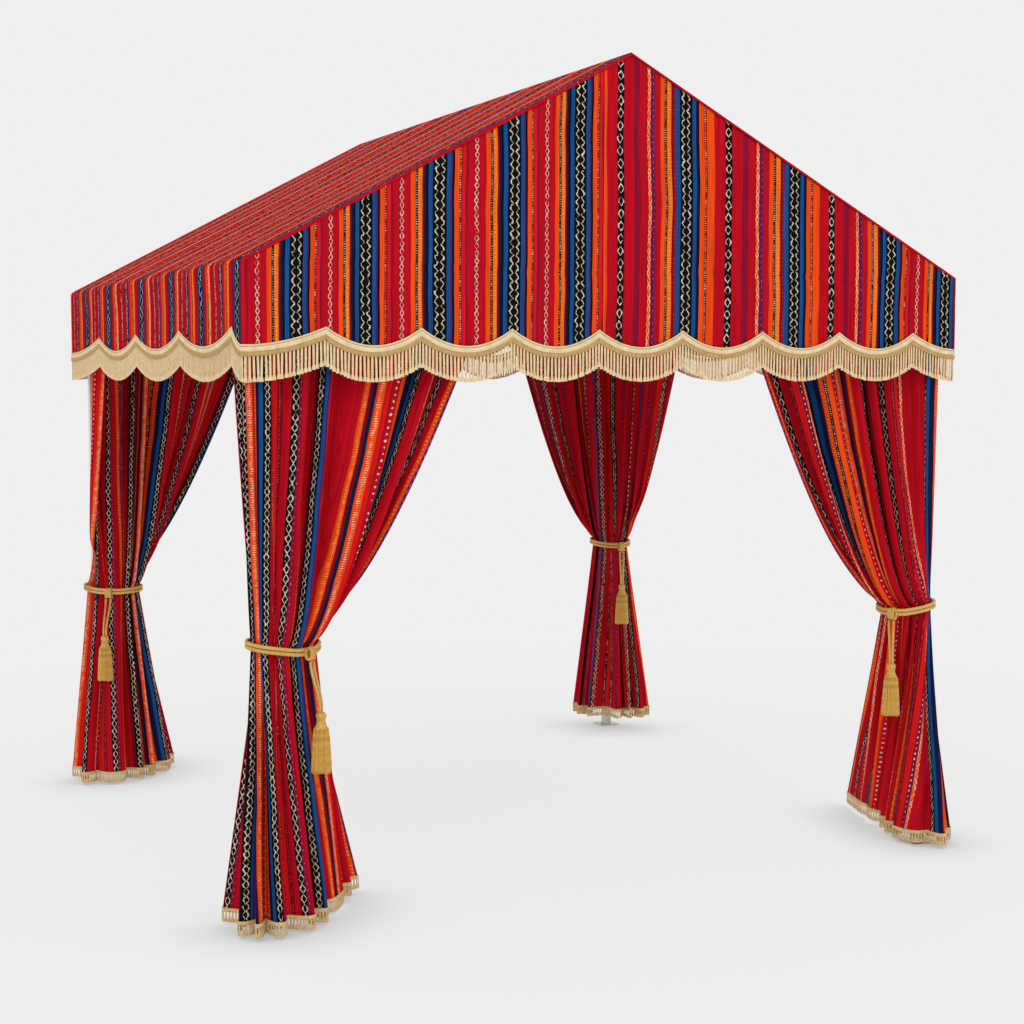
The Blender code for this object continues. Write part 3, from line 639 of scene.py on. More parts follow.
def smooth_path(points, share):
    """Point at a share of the length of a smooth curve through a few points."""
    lengths = [0.0]
    for p, q in zip(points, points[1:]):
        lengths.append(lengths[-1] + math.dist(p, q))
    target = share * lengths[-1]
    k = 0
    while k < len(points) - 2 and lengths[k + 1] < target:
        k += 1
    h = (target - lengths[k]) / (lengths[k + 1] - lengths[k])
    p1, p2 = points[k], points[k + 1]
    p0 = points[k - 1] if k else (2 * p1[0] - p2[0], 2 * p1[1] - p2[1])
    p3 = points[k + 2] if k + 2 < len(points) else (2 * p2[0] - p1[0], 2 * p2[1] - p1[1])
    found = []
    for c0, c1, c2, c3 in zip(p0, p1, p2, p3):
        m1, m2 = (c2 - c0) * 0.5, (c3 - c1) * 0.5
        found.append((2 * h**3 - 3 * h**2 + 1) * c1 + (h**3 - 2 * h**2 + h) * m1
                     + (3 * h**2 - 2 * h**3) * c2 + (h**3 - h**2) * m2)
    return found


def bundle(corner, angle, grow=0.0):
    """Outline of the tied bundle, an oval that has the leg inside it, as (a, b)."""
    centre = Vector(CORNERS[corner]["gather"])
    to_leg = Vector((LEG_INSET, LEG_INSET)) - centre
    major = max(BUNDLE_MAJOR, to_leg.length + LEG_COVER)
    tilt = math.atan2(to_leg.y, to_leg.x)
    turned = math.radians(angle) - tilt
    if math.cos(turned) > 0:
        major -= LEG_HUG
    x, y = (major + grow) * math.cos(turned), (BUNDLE_MINOR + grow) * math.sin(turned)
    return (centre.x + x * math.cos(tilt) - y * math.sin(tilt),
            centre.y + x * math.sin(tilt) + y * math.cos(tilt))


def curtain_place(corner, share, z):
    """Outer face of a curtain as (a, b), at a share of its width and a height."""
    c = CORNERS[corner]
    start, end = c["arc"]
    tied = bundle(corner, start + (end - start) * share)
    if z >= c["tie_z"]:
        spread = max(0, (z - c["tie_z"] - WAIST) / (CURTAIN_TOP - c["tie_z"] - WAIST)) ** UPPER_FLARE
        far = smooth_path(c["rail"], share)
    else:
        spread = max(0, (c["tie_z"] - WAIST - z) / (c["tie_z"] - WAIST - c["hem_z"])) ** LOWER_FLARE
        far = smooth_path(c["hem"], share)
    a, b = (near + (away - near) * spread for near, away in zip(tied, far))
    return max(a, -HEM_OUT), max(b, -HEM_OUT)


def knot_direction(corner):
    angle = math.radians(CORNERS[corner]["knot"])
    return Vector((math.cos(angle), math.sin(angle), 0))


def tie_rise(corner, points):
    """How much higher the rope lies at given places than at its knot, which pulls it down."""
    knot = np.array(knot_centre(corner))[:2]
    away = np.linalg.norm(np.asarray(points)[..., :2] - knot, axis=-1)
    return TIE_RISE[corner] * np.clip((away - 0.05) / 0.20, 0, 1)


def reach_towards(corner, z, direction, width=0.05):
    """How far the curtain reaches from the middle of its bundle in one direction."""
    centre = place(corner, *CORNERS[corner]["gather"], z)
    side = Vector((-direction.y, direction.x, 0))
    reach = 0.0
    for k in range(101):
        offset = place(corner, *curtain_place(corner, k / 100, z), z) - centre
        if abs(offset.dot(side)) < width:
            reach = max(reach, offset.dot(direction))
    return reach


def knot_centre(corner):
    """Middle of the knot, on the rope at the side that faces the viewer."""
    tie_z = CORNERS[corner]["tie_z"]
    direction = knot_direction(corner)
    out = reach_towards(corner, tie_z, direction, 0.03) + RING_CLEAR + KNOT[1]
    return place(corner, *CORNERS[corner]["gather"], tie_z - 0.006) + direction * out


def tassel_top(corner):
    """Top of the tassel, out in front of the curtain below the tie."""
    knot = knot_centre(corner)
    z = knot.z - KNOT[2] - CORNERS[corner]["cord_drop"]
    direction = knot_direction(corner)
    centre = place(corner, *CORNERS[corner]["gather"], z)
    out = max((knot - centre).dot(direction),
              reach_towards(corner, z - TASSEL_LENGTH, direction) + TASSEL_R + CORD_CLEAR,
              reach_towards(corner, z, direction) + CORD_R + CORD_CLEAR)
    return centre + direction * out


# %% [markdown]
# ## Hanging cords and tassels
#
# Two cords hang from each knot and carry the tassel. They are laid from three plies, so their
# section is a clover that turns as it goes along, and they follow the same route as
# the plain model. The real cords run on down through the tassel's head, where they are bound in.
# The tassel is a ball of wound thread, a bound neck and a skirt. Its skirt is one bent bundle of
# threads, repeated round a circle by Geometry Nodes with small random turns, because that is how
# a real skirt is: many equal bundles that no longer hang quite alike.

# %% Cords
CORD_IN_TASSEL = 0.078          # how far a cord runs on inside its tassel


def cord_route(corner, hand):
    """The route of one hanging cord, the same points as the plain model's, and on inside."""
    direction = knot_direction(corner)
    side = Vector((-direction.y, direction.x, 0)) * {"left": -1, "right": 1}[hand]
    head = knot_centre(corner) + direction * 0.006 - Vector((0, 0, KNOT[2] + 0.0015))
    foot = tassel_top(corner) + Vector((0, 0, 4 * GAP))
    route = []
    for k in range(13):
        share = k / 12
        near = min(1, k / 11)
        ease = near * near * (3 - 2 * near)
        middle = head.lerp(foot, ease)
        middle.z = head.z + (foot.z - head.z) * share
        centre = place(corner, *CORNERS[corner]["gather"], middle.z)
        out = (middle - centre).dot(direction)
        clear = reach_towards(corner, middle.z, direction, 0.03) + CORD_R + CORD_CLEAR
        half = CORD_SPREAD + (CORD_MEET - CORD_SPREAD) * ease
        route.append(middle + direction * max(0, clear - out) + side * half)
    for k in (1, 2, 3):
        route.append(route[12] - Vector((0, 0, CORD_IN_TASSEL * k / 3)))
    return route


def hanging_cord(corner, hand):
    path = spline_through(cord_route(corner, hand), 0.0024)
    mesh = tube_mesh(f"hanging_cord_{corner}_{hand}", path, CORD_R, sides=12, plies=3, groove=0.22,
                     lay=0.030)
    piece = keep(add_object(mesh.name, mesh, GOLD_ROPE), "rope", f"cord_{corner}_{hand}")
    return piece, path


CORDS = {(corner, hand): hanging_cord(corner, hand) for corner in CORNERS for hand in ("left", "right")}

# %% Geometry Nodes helpers


def new_tree(name, **inputs):
    """New Geometry Nodes tree with named inputs, whose kinds follow from their default values."""
    tree = bpy.data.node_groups.new(name, "GeometryNodeTree")
    tree.is_modifier = True
    tree.interface.new_socket("Geometry", in_out="INPUT", socket_type="NodeSocketGeometry")
    for label, value in inputs.items():
        kind = {float: "Float", int: "Int", bpy.types.Object: "Object", bpy.types.Material: "Material"}
        found = next(k for k in kind if value is k or (not isinstance(value, type) and isinstance(value, k)))
        socket = tree.interface.new_socket(label, in_out="INPUT", socket_type=f"NodeSocket{kind[found]}")
        if not isinstance(value, type):
            socket.default_value = value
    tree.interface.new_socket("Geometry", in_out="OUTPUT", socket_type="NodeSocketGeometry")
    return tree, add(tree, "NodeGroupInput"), add(tree, "NodeGroupOutput")


def grow(name, start, tree, **values):
    """Run a tree on a starting mesh and keep what it makes as a plain mesh object."""
    piece = add_object(name, start)
    layer = piece.modifiers.new(name, "NODES")
    layer.node_group = tree
    for item in tree.interface.items_tree:
        if item.in_out == "INPUT" and item.name in values:
            layer[item.identifier] = values[item.name]
    return settle(piece)


def round_tree():
    """Repeat a piece round the Z axis, each copy a little turned and lengthened."""
    tree, given, result = new_tree("repeat_round", Piece=bpy.types.Object, Count=40, Turn=0.02,
                                   Stretch=0.02, Seed=1, Finish=bpy.types.Material)
    line = add(tree, "GeometryNodeMeshLine", inputs={"Count": given.outputs["Count"], "Offset": (0, 0, 0)})
    index = add(tree, "GeometryNodeInputIndex")
    share = add(tree, "ShaderNodeMath", index, given.outputs["Count"], operation="DIVIDE")
    angle = add(tree, "ShaderNodeMath", share, 2 * math.pi, operation="MULTIPLY")
    low = add(tree, "ShaderNodeMath", given.outputs["Turn"], -1.0, operation="MULTIPLY")
    sway = add(tree, "FunctionNodeRandomValue", data_type="FLOAT",
               inputs={"Min": low, "Max": given.outputs["Turn"], "Seed": given.outputs["Seed"]})
    angle = add(tree, "ShaderNodeMath", angle, sway.outputs["Value"], operation="ADD")
    turn = add(tree, "ShaderNodeCombineXYZ", inputs={"Z": angle})
    shorter = add(tree, "ShaderNodeMath", 1.0, given.outputs["Stretch"], operation="SUBTRACT")
    length = add(tree, "FunctionNodeRandomValue", data_type="FLOAT",
                 inputs={"Min": shorter, "Max": 1.0, "Seed": given.outputs["Seed"]})
    size = add(tree, "ShaderNodeCombineXYZ", 1.0, 1.0, length.outputs["Value"])
    shape = add(tree, "GeometryNodeObjectInfo", inputs={"Object": given.outputs["Piece"]})
    copies = add(tree, "GeometryNodeInstanceOnPoints",
                 inputs={"Points": line, "Instance": shape.outputs["Geometry"], "Rotation": turn,
                         "Scale": size})
    real = add(tree, "GeometryNodeRealizeInstances", copies)
    done = add(tree, "GeometryNodeSetMaterial",
               inputs={"Geometry": real, "Material": given.outputs["Finish"]})
    tree.links.new(done.outputs[0], result.inputs[0])
    return tree


def hang_tree():
    """Repeat a piece along a line, its X along the line, leaning and stretched a little."""
    tree, given, result = new_tree("repeat_along", Piece=bpy.types.Object, Spacing=0.015, Lean=0.02,
                                   Stretch=0.02, Seed=1, Finish=bpy.types.Material)
    curve = add(tree, "GeometryNodeMeshToCurve", given.outputs["Geometry"])
    even = add(tree, "GeometryNodeResampleCurve", mode="LENGTH",
               inputs={"Curve": curve, "Length": given.outputs["Spacing"]})
    ahead = add(tree, "ShaderNodeSeparateXYZ", add(tree, "GeometryNodeInputTangent"))
    angle = add(tree, "ShaderNodeMath", ahead.outputs["Y"], ahead.outputs["X"], operation="ARCTAN2")
    low = add(tree, "ShaderNodeMath", given.outputs["Lean"], -1.0, operation="MULTIPLY")
    lean = add(tree, "FunctionNodeRandomValue", data_type="FLOAT",
               inputs={"Min": low, "Max": given.outputs["Lean"], "Seed": given.outputs["Seed"]})
    turn = add(tree, "ShaderNodeCombineXYZ", 0.0, lean.outputs["Value"], angle)
    shorter = add(tree, "ShaderNodeMath", 1.0, given.outputs["Stretch"], operation="SUBTRACT")
    length = add(tree, "FunctionNodeRandomValue", data_type="FLOAT",
                 inputs={"Min": shorter, "Max": 1.0, "Seed": given.outputs["Seed"]})
    size = add(tree, "ShaderNodeCombineXYZ", 1.0, 1.0, length.outputs["Value"])
    shape = add(tree, "GeometryNodeObjectInfo", inputs={"Object": given.outputs["Piece"]})
    copies = add(tree, "GeometryNodeInstanceOnPoints",
                 inputs={"Points": even, "Instance": shape.outputs["Geometry"], "Rotation": turn,
                         "Scale": size})
    real = add(tree, "GeometryNodeRealizeInstances", copies)
    done = add(tree, "GeometryNodeSetMaterial",
               inputs={"Geometry": real, "Material": given.outputs["Finish"]})
    tree.links.new(done.outputs[0], result.inputs[0])
    return tree


ROUND, ALONG = round_tree(), hang_tree()


def line_mesh(name, points):
    mesh = bpy.data.meshes.new(name)
    mesh.from_pydata([tuple(p) for p in points], [(k, k + 1) for k in range(len(points) - 1)], [])
    return mesh


# %% Tassels
TASSEL_PROFILE = [              # radius and depth below the top
    (0.0125, 0.000), (0.0170, 0.004), (0.0188, 0.012), (0.0170, 0.020), (0.0146, 0.026),
    (0.0165, 0.036), (0.0215, 0.050), (0.0262, 0.056), (0.0290, 0.066), (0.0315, 0.100),
    (0.0340, 0.140), (TASSEL_R, 0.212)]
COLLAR = 0.056                  # depth at which the skirt starts


def turned(name, profile, sides=32):
    """Closed turned shape round the Z axis, from radius and depth."""
    profile = [(0.0004, profile[0][1])] + profile + [(0.0004, profile[-1][1])]
    angle = 2 * math.pi * np.arange(sides) / sides
    radius, depth = np.array(profile).T
    points = np.stack([radius[:, None] * np.cos(angle), radius[:, None] * np.sin(angle),
                       np.broadcast_to(-depth[:, None], (len(profile), sides))], axis=-1)
    uv = np.stack(np.meshgrid(np.arange(sides + 1) / sides, depth * 10), axis=-1)
    return grid_mesh(name, points, uv, wrap_columns=True)


def tassel(corner):
    """Head, bindings, skirt and core of one tassel, hung under its cords."""
    line = spline_through([(r, 0, -d) for r, d in TASSEL_PROFILE], 0.002)
    head = [(p[0], -p[2]) for p in line if -p[2] <= COLLAR + 0.002]
    core = [(p[0] - 0.006, -p[2]) for p in line if COLLAR - 0.01 <= -p[2] <= TASSEL_LENGTH - 0.012]
    parts = [add_object("head", turned("head", head), GOLD_THREAD),
             add_object("core", turned("core", core), GOLD_THREAD)]
    for depth, radius, thick in [(0.0235, 0.0152, 0.0014), (0.0262, 0.0148, 0.0014),
                                 (0.0289, 0.0149, 0.0014), (COLLAR, 0.0229, 0.0016),
                                 (COLLAR + 0.003, 0.0236, 0.0016)]:
        ring = np.array([(radius * math.cos(t), radius * math.sin(t), -depth)
                         for t in np.linspace(0, 2 * math.pi, 40, endpoint=False)])
        parts.append(add_object("binding", tube_mesh("binding", ring, thick, 6, closed=True), GOLD_ROPE))
    for count, inset, low, seed in [(44, 0.0024, TASSEL_LENGTH, 3), (34, 0.0075, TASSEL_LENGTH - 0.003, 5)]:
        bent = [(r - inset, 0, -d) for r, d in TASSEL_PROFILE if d >= COLLAR]
        bent[-1] = (bent[-1][0], 0, -low)
        path = spline_through(bent, 0.012)
        size = np.interp(-path[:, 2], [COLLAR, 0.1, low], [0.0015, 0.0023, 0.0029])
        thread = add_object("threads", tube_mesh("threads", path, size, 7))
        start = line_mesh("start", [(0, 0, 0), (0, 0, 0.001)])
        parts.append(grow("skirt", start, ROUND, Piece=thread, Count=count, Turn=0.03, Stretch=0.02,
                          Seed=seed, Finish=GOLD_THREAD))
        bpy.data.objects.remove(thread, do_unlink=True)
    piece = join_pieces(f"thread_tassel_{corner}", parts)
    piece.data.transform(Matrix.Translation(tassel_top(corner)))
    return keep(piece, "rope", f"tassel_{corner}")


TASSELS = {corner: tassel(corner) for corner in CORNERS}

# %% [markdown]
# ## Tiebacks
#
# Each tieback is a satin rope laid twice round the bundle and closed by a knot, which is the
# rope itself wound round the two strands. The strands follow the oval of the bundle.


# %% Tiebacks
def tieback(corner):
    """Two strands round the bundle and the wound knot."""
    tie_z = CORNERS[corner]["tie_z"]
    parts = []
    for level in (-1, 1):
        ring = np.array([place(corner, *bundle(corner, 360 * k / 220, RING_CLEAR + ROPE_R),
                               tie_z + level * ROPE_R) for k in range(220)])
        ring[:, 2] += tie_rise(corner, ring)
        mesh = tube_mesh("strand", ring, ROPE_R, sides=12, closed=True, plies=3, groove=0.16, lay=0.05)
        parts.append(add_object("strand", mesh, GOLD_ROPE))
    out, up = np.array(knot_direction(corner)), np.array((0, 0, 1.0))
    side = np.cross(up, out)
    middle = np.array(knot_centre(corner))
    wind = ROPE_R - 0.0012
    turns = 3.5
    coil = []
    for k in range(int(turns * 28) + 1):
        t = k / 28
        coil.append(middle + side * (2 * t / turns - 1) * (KNOT[0] - wind)
                    + out * math.cos(2 * math.pi * t + 2.2) * (KNOT[1] - wind)
                    + up * math.sin(2 * math.pi * t + 2.2) * (KNOT[2] - wind))
    mesh = tube_mesh("wound", np.array(coil), wind, sides=12, plies=3, groove=0.16, lay=0.05)
    parts.append(add_object("wound", mesh, GOLD_ROPE))
    return keep(join_pieces(f"rope_tieback_{corner}", parts), "rope", f"tieback_{corner}")


TIEBACKS = {corner: tieback(corner) for corner in CORNERS}

# %% [markdown]
# ## The roof cloth
#
# The roof and both side valances are one long cloth that is thrown over the frame, so they are
# one sheet here too: it rises from the left scallops, rounds the left eave, passes over the
# ridge and comes down the same way on the right. Between its supports it sags a little. At both
# gables its edge is rolled inwards over the rake.

# %% Roof cloth
EAVE_ROUND = 0.025
RIDGE_ROUND = 0.012
ROOF_SAG = 0.007
BRAID_TUCK = 0.012              # how far the cloth reaches down behind the braid


def roof_profile():
    """Right half of the section from the ridge down to the eave: x, z and outward direction."""
    face = HALF - 0.0003
    turn = math.pi / 2 - SLOPE
    reach = EAVE_ROUND * math.tan(turn / 2)
    eave = np.array((face, EAVE_Z))
    down = np.array((math.cos(SLOPE), -math.sin(SLOPE)))
    section = []
    slope_end = eave - down * reach
    top = np.array((0.0, PEAK_Z))
    length = np.linalg.norm(slope_end - top)
    for k in range(30):
        section.append((*(top + down * length * k / 30), math.pi / 2 - SLOPE, k / 30))
    centre = slope_end - EAVE_ROUND * np.array((math.sin(SLOPE), math.cos(SLOPE)))
    for k in range(9):
        angle = math.pi / 2 - SLOPE - turn * k / 8
        section.append((centre[0] + EAVE_ROUND * math.cos(angle),
                        centre[1] + EAVE_ROUND * math.sin(angle), angle, 1.0))
    return section


def gentle(value):
    return value * value * (3 - 2 * value)


def roof_cloth():
    section = roof_profile()
    half_turn = EDGE_ROUND * math.pi / 2
    bend = [(EDGE_ROUND * (1 - math.sin(p)), EDGE_ROUND * (1 - math.cos(p)), EDGE_ROUND * p)
            for p in np.linspace(math.pi / 2, 0, 6, endpoint=False)]
    flat_end = HALF - EDGE_ROUND
    middle = along_side("left", -flat_end, flat_end, 0.022)
    columns = [(-HALF + inset, drop, -flat_end - arc) for inset, drop, arc in bend]
    columns += [(y, 0.0, y) for y in middle]
    columns += [(HALF - inset, drop, flat_end + arc) for inset, drop, arc in reversed(bend)]
    valance_rows = 12
    points, uv = [], []
    half_section = [(x, z, angle, share) for x, z, angle, share in section]
    run = 0.0
    runs = [0.0]
    for (x0, z0, *_), (x1, z1, *_) in zip(section, section[1:]):
        run += math.hypot(x1 - x0, z1 - z0)
        runs.append(run)
    for sign in (-1, 1):
        rows = []
        for row, (x, z, angle, share) in enumerate(half_section):
            line = []
            for y, drop, cloth_y in columns:
                sag = ROOF_SAG * math.sin(math.pi * min(share, 1)) * max(0, 1 - (y / 1.385) ** 6)
                sag += 0.0025 * math.sin(y * 11 + sign) * gentle(share) * (share < 1) * max(0, 1 - (y / 1.385) ** 8)
                inward = drop + sag
                nx, nz = math.cos(angle), math.sin(angle)
                if row == 0:
                    nx, nz = 0.0, 1.0
                line.append((sign * (x - inward * nx), y, z - inward * nz, cloth_y, runs[row]))
            rows.append(line)
        x, z = section[-1][:2]
        for k in range(1, valance_rows + 1):
            line = []
            for y, drop, cloth_y in columns:
                edge, _ = scallop("left", max(-HALF, min(HALF, y)))
                low = edge - BRAID_TUCK
                height = z + (low - z) * k / valance_rows
                wave = 0.0022 * (math.sin(y * 8.7 + 2 * sign) + 0.6 * math.sin(y * 19 + sign)) + 0.003
                wave *= gentle(min(1, k / 6)) * max(0, 1 - (y / 1.47) ** 10)
                line.append((sign * (x - drop - wave), y, height, cloth_y, runs[-1] + z - height))
            rows.append(line)
        points.append(rows)
    left, right = points
    whole = [list(reversed(line)) for line in reversed(left)][:-1]
    whole = [line for line in reversed(left)][:-1] + right
    data = np.array(whole)
    grid = data[:, :, :3]
    count = len(left)
    sign_row = np.concatenate([-np.ones(count - 1), np.ones(count)])[:, None]
    uv = np.stack([data[:, :, 3], sign_row * data[:, :, 4]], axis=-1)
    mesh = grid_mesh("roof_cloth", grid, uv, flip=False)
    return mesh


# Places of the dark bands. The warp plan runs from the back to the front gable, so that its
# blue and navy stripes lie along the front rake.
ROOF_BANDS = (-1.126, -0.639, 0.022, 0.513, 0.950, 1.441)


def plan_place(x, bands, plan):
    """Place in a warp plan, in metres, so that its dark band falls on each given place."""
    widths = [stripe[0] / 1000 for stripe in plan]
    total = sum(widths)
    chain = next(k for k, stripe in enumerate(plan) if stripe[2] == "chain")
    middle = sum(widths[:chain]) + widths[chain] / 2
    before = bands[0] - total * np.arange(12, 0, -1)
    after = bands[-1] + total * np.arange(1, 12)
    places = np.concatenate([before, bands, after])
    return np.interp(x, places, middle + total * np.arange(len(places)))


mesh = roof_cloth()
layer = mesh.uv_layers[0]
flat = np.zeros(len(layer.data) * 2)
layer.data.foreach_get("uv", flat)
flat = flat.reshape(-1, 2)
flat[:, 0] = plan_place(-flat[:, 0], ROOF_BANDS, ROOF_PLAN)
layer.data.foreach_set("uv", flat.ravel())
ROOF = thicken(add_object("roof_cloth", mesh, ROOFING))
keep(ROOF, "striped_cloth", "roof_left", "roof_right", "valance_left", "valance_right")
print("roof cloth:", len(ROOF.data.polygons), "faces")

# %% [markdown]
# ## The gable cloths
#
# Each gable is one piece from the rake down to the scallops. It hangs just behind the roof's
# rolled edge. The warp runs upright, and two widths of cloth meet under the ridge: the left one
# repeats about every 270 mm and the right one every 460 mm.

# %% Gables
GABLE_BANDS_LEFT = (-1.304, -1.053, -0.772, -0.476, -0.214)
GABLE_BANDS_MIDDLE = (-0.217, 0.233, 0.720, 1.176)
GABLE_BANDS_RIGHT = (1.176, 1.444)
GABLE_SEAMS = (-0.115, 1.120)   # where one width of cloth ends and the next begins


def gable_wave(x, z):
    """How far the gable cloth lies behind a flat face."""
    low = gentle(min(1, max(0, (2.42 - z) / 0.25)))
    swell = 0.0030 * (math.sin(x * 7.1 + 0.7) + 0.5 * math.sin(x * 15.3 + 2.0)) + 0.0046
    edge = max(0, 1 - (x / 1.47) ** 10)
    crease = 0.0045 * math.exp(-((z - 2.335 - 0.008 * math.sin(4 * x)) / 0.010) ** 2)
    high = 0.0016 * (1 + math.sin(x * 5.2 + z * 6)) * (1 - low)
    return (swell * low + crease + high) * edge


def gable_cloth(side):
    way = {"front": -1, "back": 1}[side]
    face = HALF - SHEET - 0.0004
    reach = HALF - SHEET - 0.0012
    stops = [-reach, *GABLE_SEAMS, reach]
    columns = 0
    grids, uvs, widths = [], [], []
    for width, (low, high) in enumerate(zip(stops, stops[1:])):
        xs = along_side("front", low, high, 0.016)
        rows = np.linspace(0, 1, 41)
        grid, uv = np.zeros((41, len(xs), 3)), np.zeros((41, len(xs), 2))
        for c, x in enumerate(xs):
            edge, _ = scallop("front", x)
            top = EAVE_Z + (HALF - abs(x)) * math.tan(SLOPE) - 0.0045
            top = min(top, PEAK_Z - 0.010)
            z = top + (edge - BRAID_TUCK - top) * rows
            wave = [gable_wave(x, height) for height in z]
            grid[:, c] = np.stack([np.full(41, -way * x), way * (face - np.array(wave)), z], axis=-1)
            uv[:, c] = np.stack([np.full(41, x), -z], axis=-1)
        bands, plan = ((GABLE_BANDS_LEFT, NARROW_PLAN), (GABLE_BANDS_MIDDLE, WIDE_PLAN),
                       (GABLE_BANDS_RIGHT, NARROW_PLAN))[width]
        uv[..., 0] = plan_place(uv[..., 0], bands, plan)
        mesh = grid_mesh("width", grid, uv)
        widths.append(add_object("width", mesh, WIDE if width == 1 else NARROW))
    piece = join_pieces(f"gable_cloth_{side}", widths)
    weld = piece.modifiers.new("weld", "WELD")
    weld.merge_threshold = 0.0001
    settle(piece)
    return keep(thicken(piece), "striped_cloth", f"gable_{side}")


GABLES = {side: gable_cloth(side) for side in ("front", "back")}

# %% [markdown]
# ## Braid, gimp and fringe
#
# The trimming runs round the whole edge in one length. It has three parts: a cream braid with a
# rolled top edge, a gold gimp of overlapping loops, and a fringe of thick cream cords that end in
# tufts. The braid is a section swept round the edge. The loops and the cords are one small mesh
# each, repeated along a line by Geometry Nodes.

# %% Edge of the tent
SIDES = {"front": ((1, 0), (0, -1)), "right": ((0, 1), (1, 0)),
         "back": ((-1, 0), (0, 1)), "left": ((0, -1), (-1, 0))}


def edge_loop(step, near_tips=()):
    """Round the scalloped edge: rows of x, y, outward x and y, height, stretch, tip distance."""
    flat_end = HALF - EDGE_ROUND
    loop = []
    for side, (ahead, outward) in SIDES.items():
        tips = FRONT_TIPS if side in ("front", "back") else SIDE_TIPS
        line = along_side(side, -flat_end, flat_end, step, near_tips)
        if sum(ahead) < 0:
            line = line[::-1]
        for u in line:
            z, stretch = scallop(side, u)
            x = u if outward[0] == 0 else outward[0] * HALF
            y = u if outward[1] == 0 else outward[1] * HALF
            loop.append((x, y, *outward, z, stretch, min(abs(u - t) for t in tips)))
        corner = [flat_end * (ahead[k] + outward[k]) for k in (0, 1)]
        z, stretch = scallop(side, line[-1])
        for k in range(1, 6):
            angle = math.radians(90 * k / 6)
            nx = outward[0] * math.cos(angle) + ahead[0] * math.sin(angle)
            ny = outward[1] * math.cos(angle) + ahead[1] * math.sin(angle)
            loop.append((corner[0] + EDGE_ROUND * nx, corner[1] + EDGE_ROUND * ny, nx, ny, z, stretch, 1))
    return np.array(loop)


def swept_strip(name, section, step, look):
    """Sweep a closed section of drop and outward offset round the whole edge."""
    loop = edge_loop(step, near_tips=(0.002, 0.005))
    sink = 0.0010 * np.exp(-(loop[:, 6] / 0.0022) ** 2)
    rows = []
    for drop, out in section:
        lift = out - sink - 0.0008
        rows.append(np.stack([loop[:, 0] + loop[:, 2] * lift, loop[:, 1] + loop[:, 3] * lift,
                              loop[:, 4] - drop * loop[:, 5]], axis=-1))
    points = np.array(rows)
    run = np.concatenate([[0], np.cumsum(np.linalg.norm(np.diff(loop[:, :2], axis=0), axis=1))])
    run = np.append(run, run[-1] + step)
    drops = [drop for drop, _ in section] + [section[0][0]]
    uv = np.stack(np.meshgrid(run, drops), axis=-1)
    mesh = grid_mesh(name, points, uv, wrap_rows=True, wrap_columns=True)
    return add_object(name, mesh, look)


BRAID_SECTION = [(0.0000, -0.0006), (-0.0010, 0.0012), (0.0002, 0.0028), (0.0022, 0.0034),
                 (0.0042, 0.0026), (0.0054, 0.0006), (0.0066, 0.0006), (0.0080, 0.0024),
                 (0.0150, 0.0030), (0.0220, 0.0024), (0.0240, 0.0010), (0.0244, -0.0006)]
GIMP_SECTION = [(0.0236, -0.0006), (0.0256, 0.0018), (0.0325, 0.0022), (0.0395, 0.0016),
                (0.0405, -0.0006)]
BRAID = keep(swept_strip("valance_braid", BRAID_SECTION, 0.012, CREAM_BRAID), "fringe_trim",
             "fringe_front", "fringe_back", "fringe_left", "fringe_right")
GIMP = keep(swept_strip("valance_gimp_tape", GIMP_SECTION, 0.012, GOLD_GIMP), "fringe_trim")


# %% Gimp loops and fringe cords
def edge_line(drop, out, step=0.012):
    """The scalloped edge as a closed line, lowered and moved outwards."""
    loop = edge_loop(step)
    points = [(x + nx * out, y + ny * out, z - drop * stretch) for x, y, nx, ny, z, stretch, _ in loop]
    return points + points[:1]


def repeat_along(name, points, template, look, **sizes):
    """Repeat a template along a line and remove it afterwards."""
    piece = grow(name, line_mesh(name, points), ALONG, Piece=template, Finish=look, **sizes)
    bpy.data.objects.remove(template, do_unlink=True)
    return piece


def loop_template():
    """One loop of the gimp: a thin cord in an upright oval, leaning a little."""
    ring = np.array([(0.0040 * math.cos(t) + 0.0022 * math.sin(t), -0.0006 * math.cos(t), 0.0072 * math.sin(t))
                     for t in np.linspace(0, 2 * math.pi, 11, endpoint=False)])
    return add_object("loop", tube_mesh("loop", ring, 0.0010, 4, closed=True))


def strand_template(length, radius, tuft, tuft_width, pitch_hint=7):
    """One fringe cord with its tuft, hanging down from the origin, X along the braid."""
    levels = [(0.0, radius * 0.9), (0.004, radius), (length - tuft * 1.15, radius),
              (length - tuft, radius * 0.86), (length - tuft * 0.72, tuft_width * 0.66),
              (length - tuft * 0.36, tuft_width * 0.92), (length - 0.0015, tuft_width),
              (length, tuft_width * 0.7)]
    sides = pitch_hint + 1
    angle = 2 * math.pi * np.arange(sides) / sides
    points = np.zeros((len(levels), sides, 3))
    for row, (depth, size) in enumerate(levels):
        deep = min(size, radius * 0.36)
        points[row] = np.stack([size * np.cos(angle), deep * np.sin(angle), np.full(sides, -depth)], axis=-1)
    uv = np.stack(np.meshgrid(np.arange(sides + 1) / sides, [d for d, _ in levels]), axis=-1)
    mesh = grid_mesh("strand", points, uv, wrap_columns=True)
    close_ends(mesh, sides, len(levels))
    return add_object("strand", mesh)


LOOPS = keep(repeat_along("valance_gimp_loops", edge_line(0.0325, 0.0014), loop_template(), GOLD_GIMP,
                          Spacing=0.0062, Lean=0.05, Stretch=0.05, Seed=4), "fringe_trim")
STRANDS = keep(repeat_along("valance_fringe", edge_line(GIMP_DROP - 0.002, -0.0030),
                            strand_template(FRINGE_DROP - GIMP_DROP + 0.001, 0.0043, 0.022, 0.0077), CREAM_CORD,
                            Spacing=0.0146, Lean=0.025, Stretch=0.02, Seed=7), "fringe_trim")

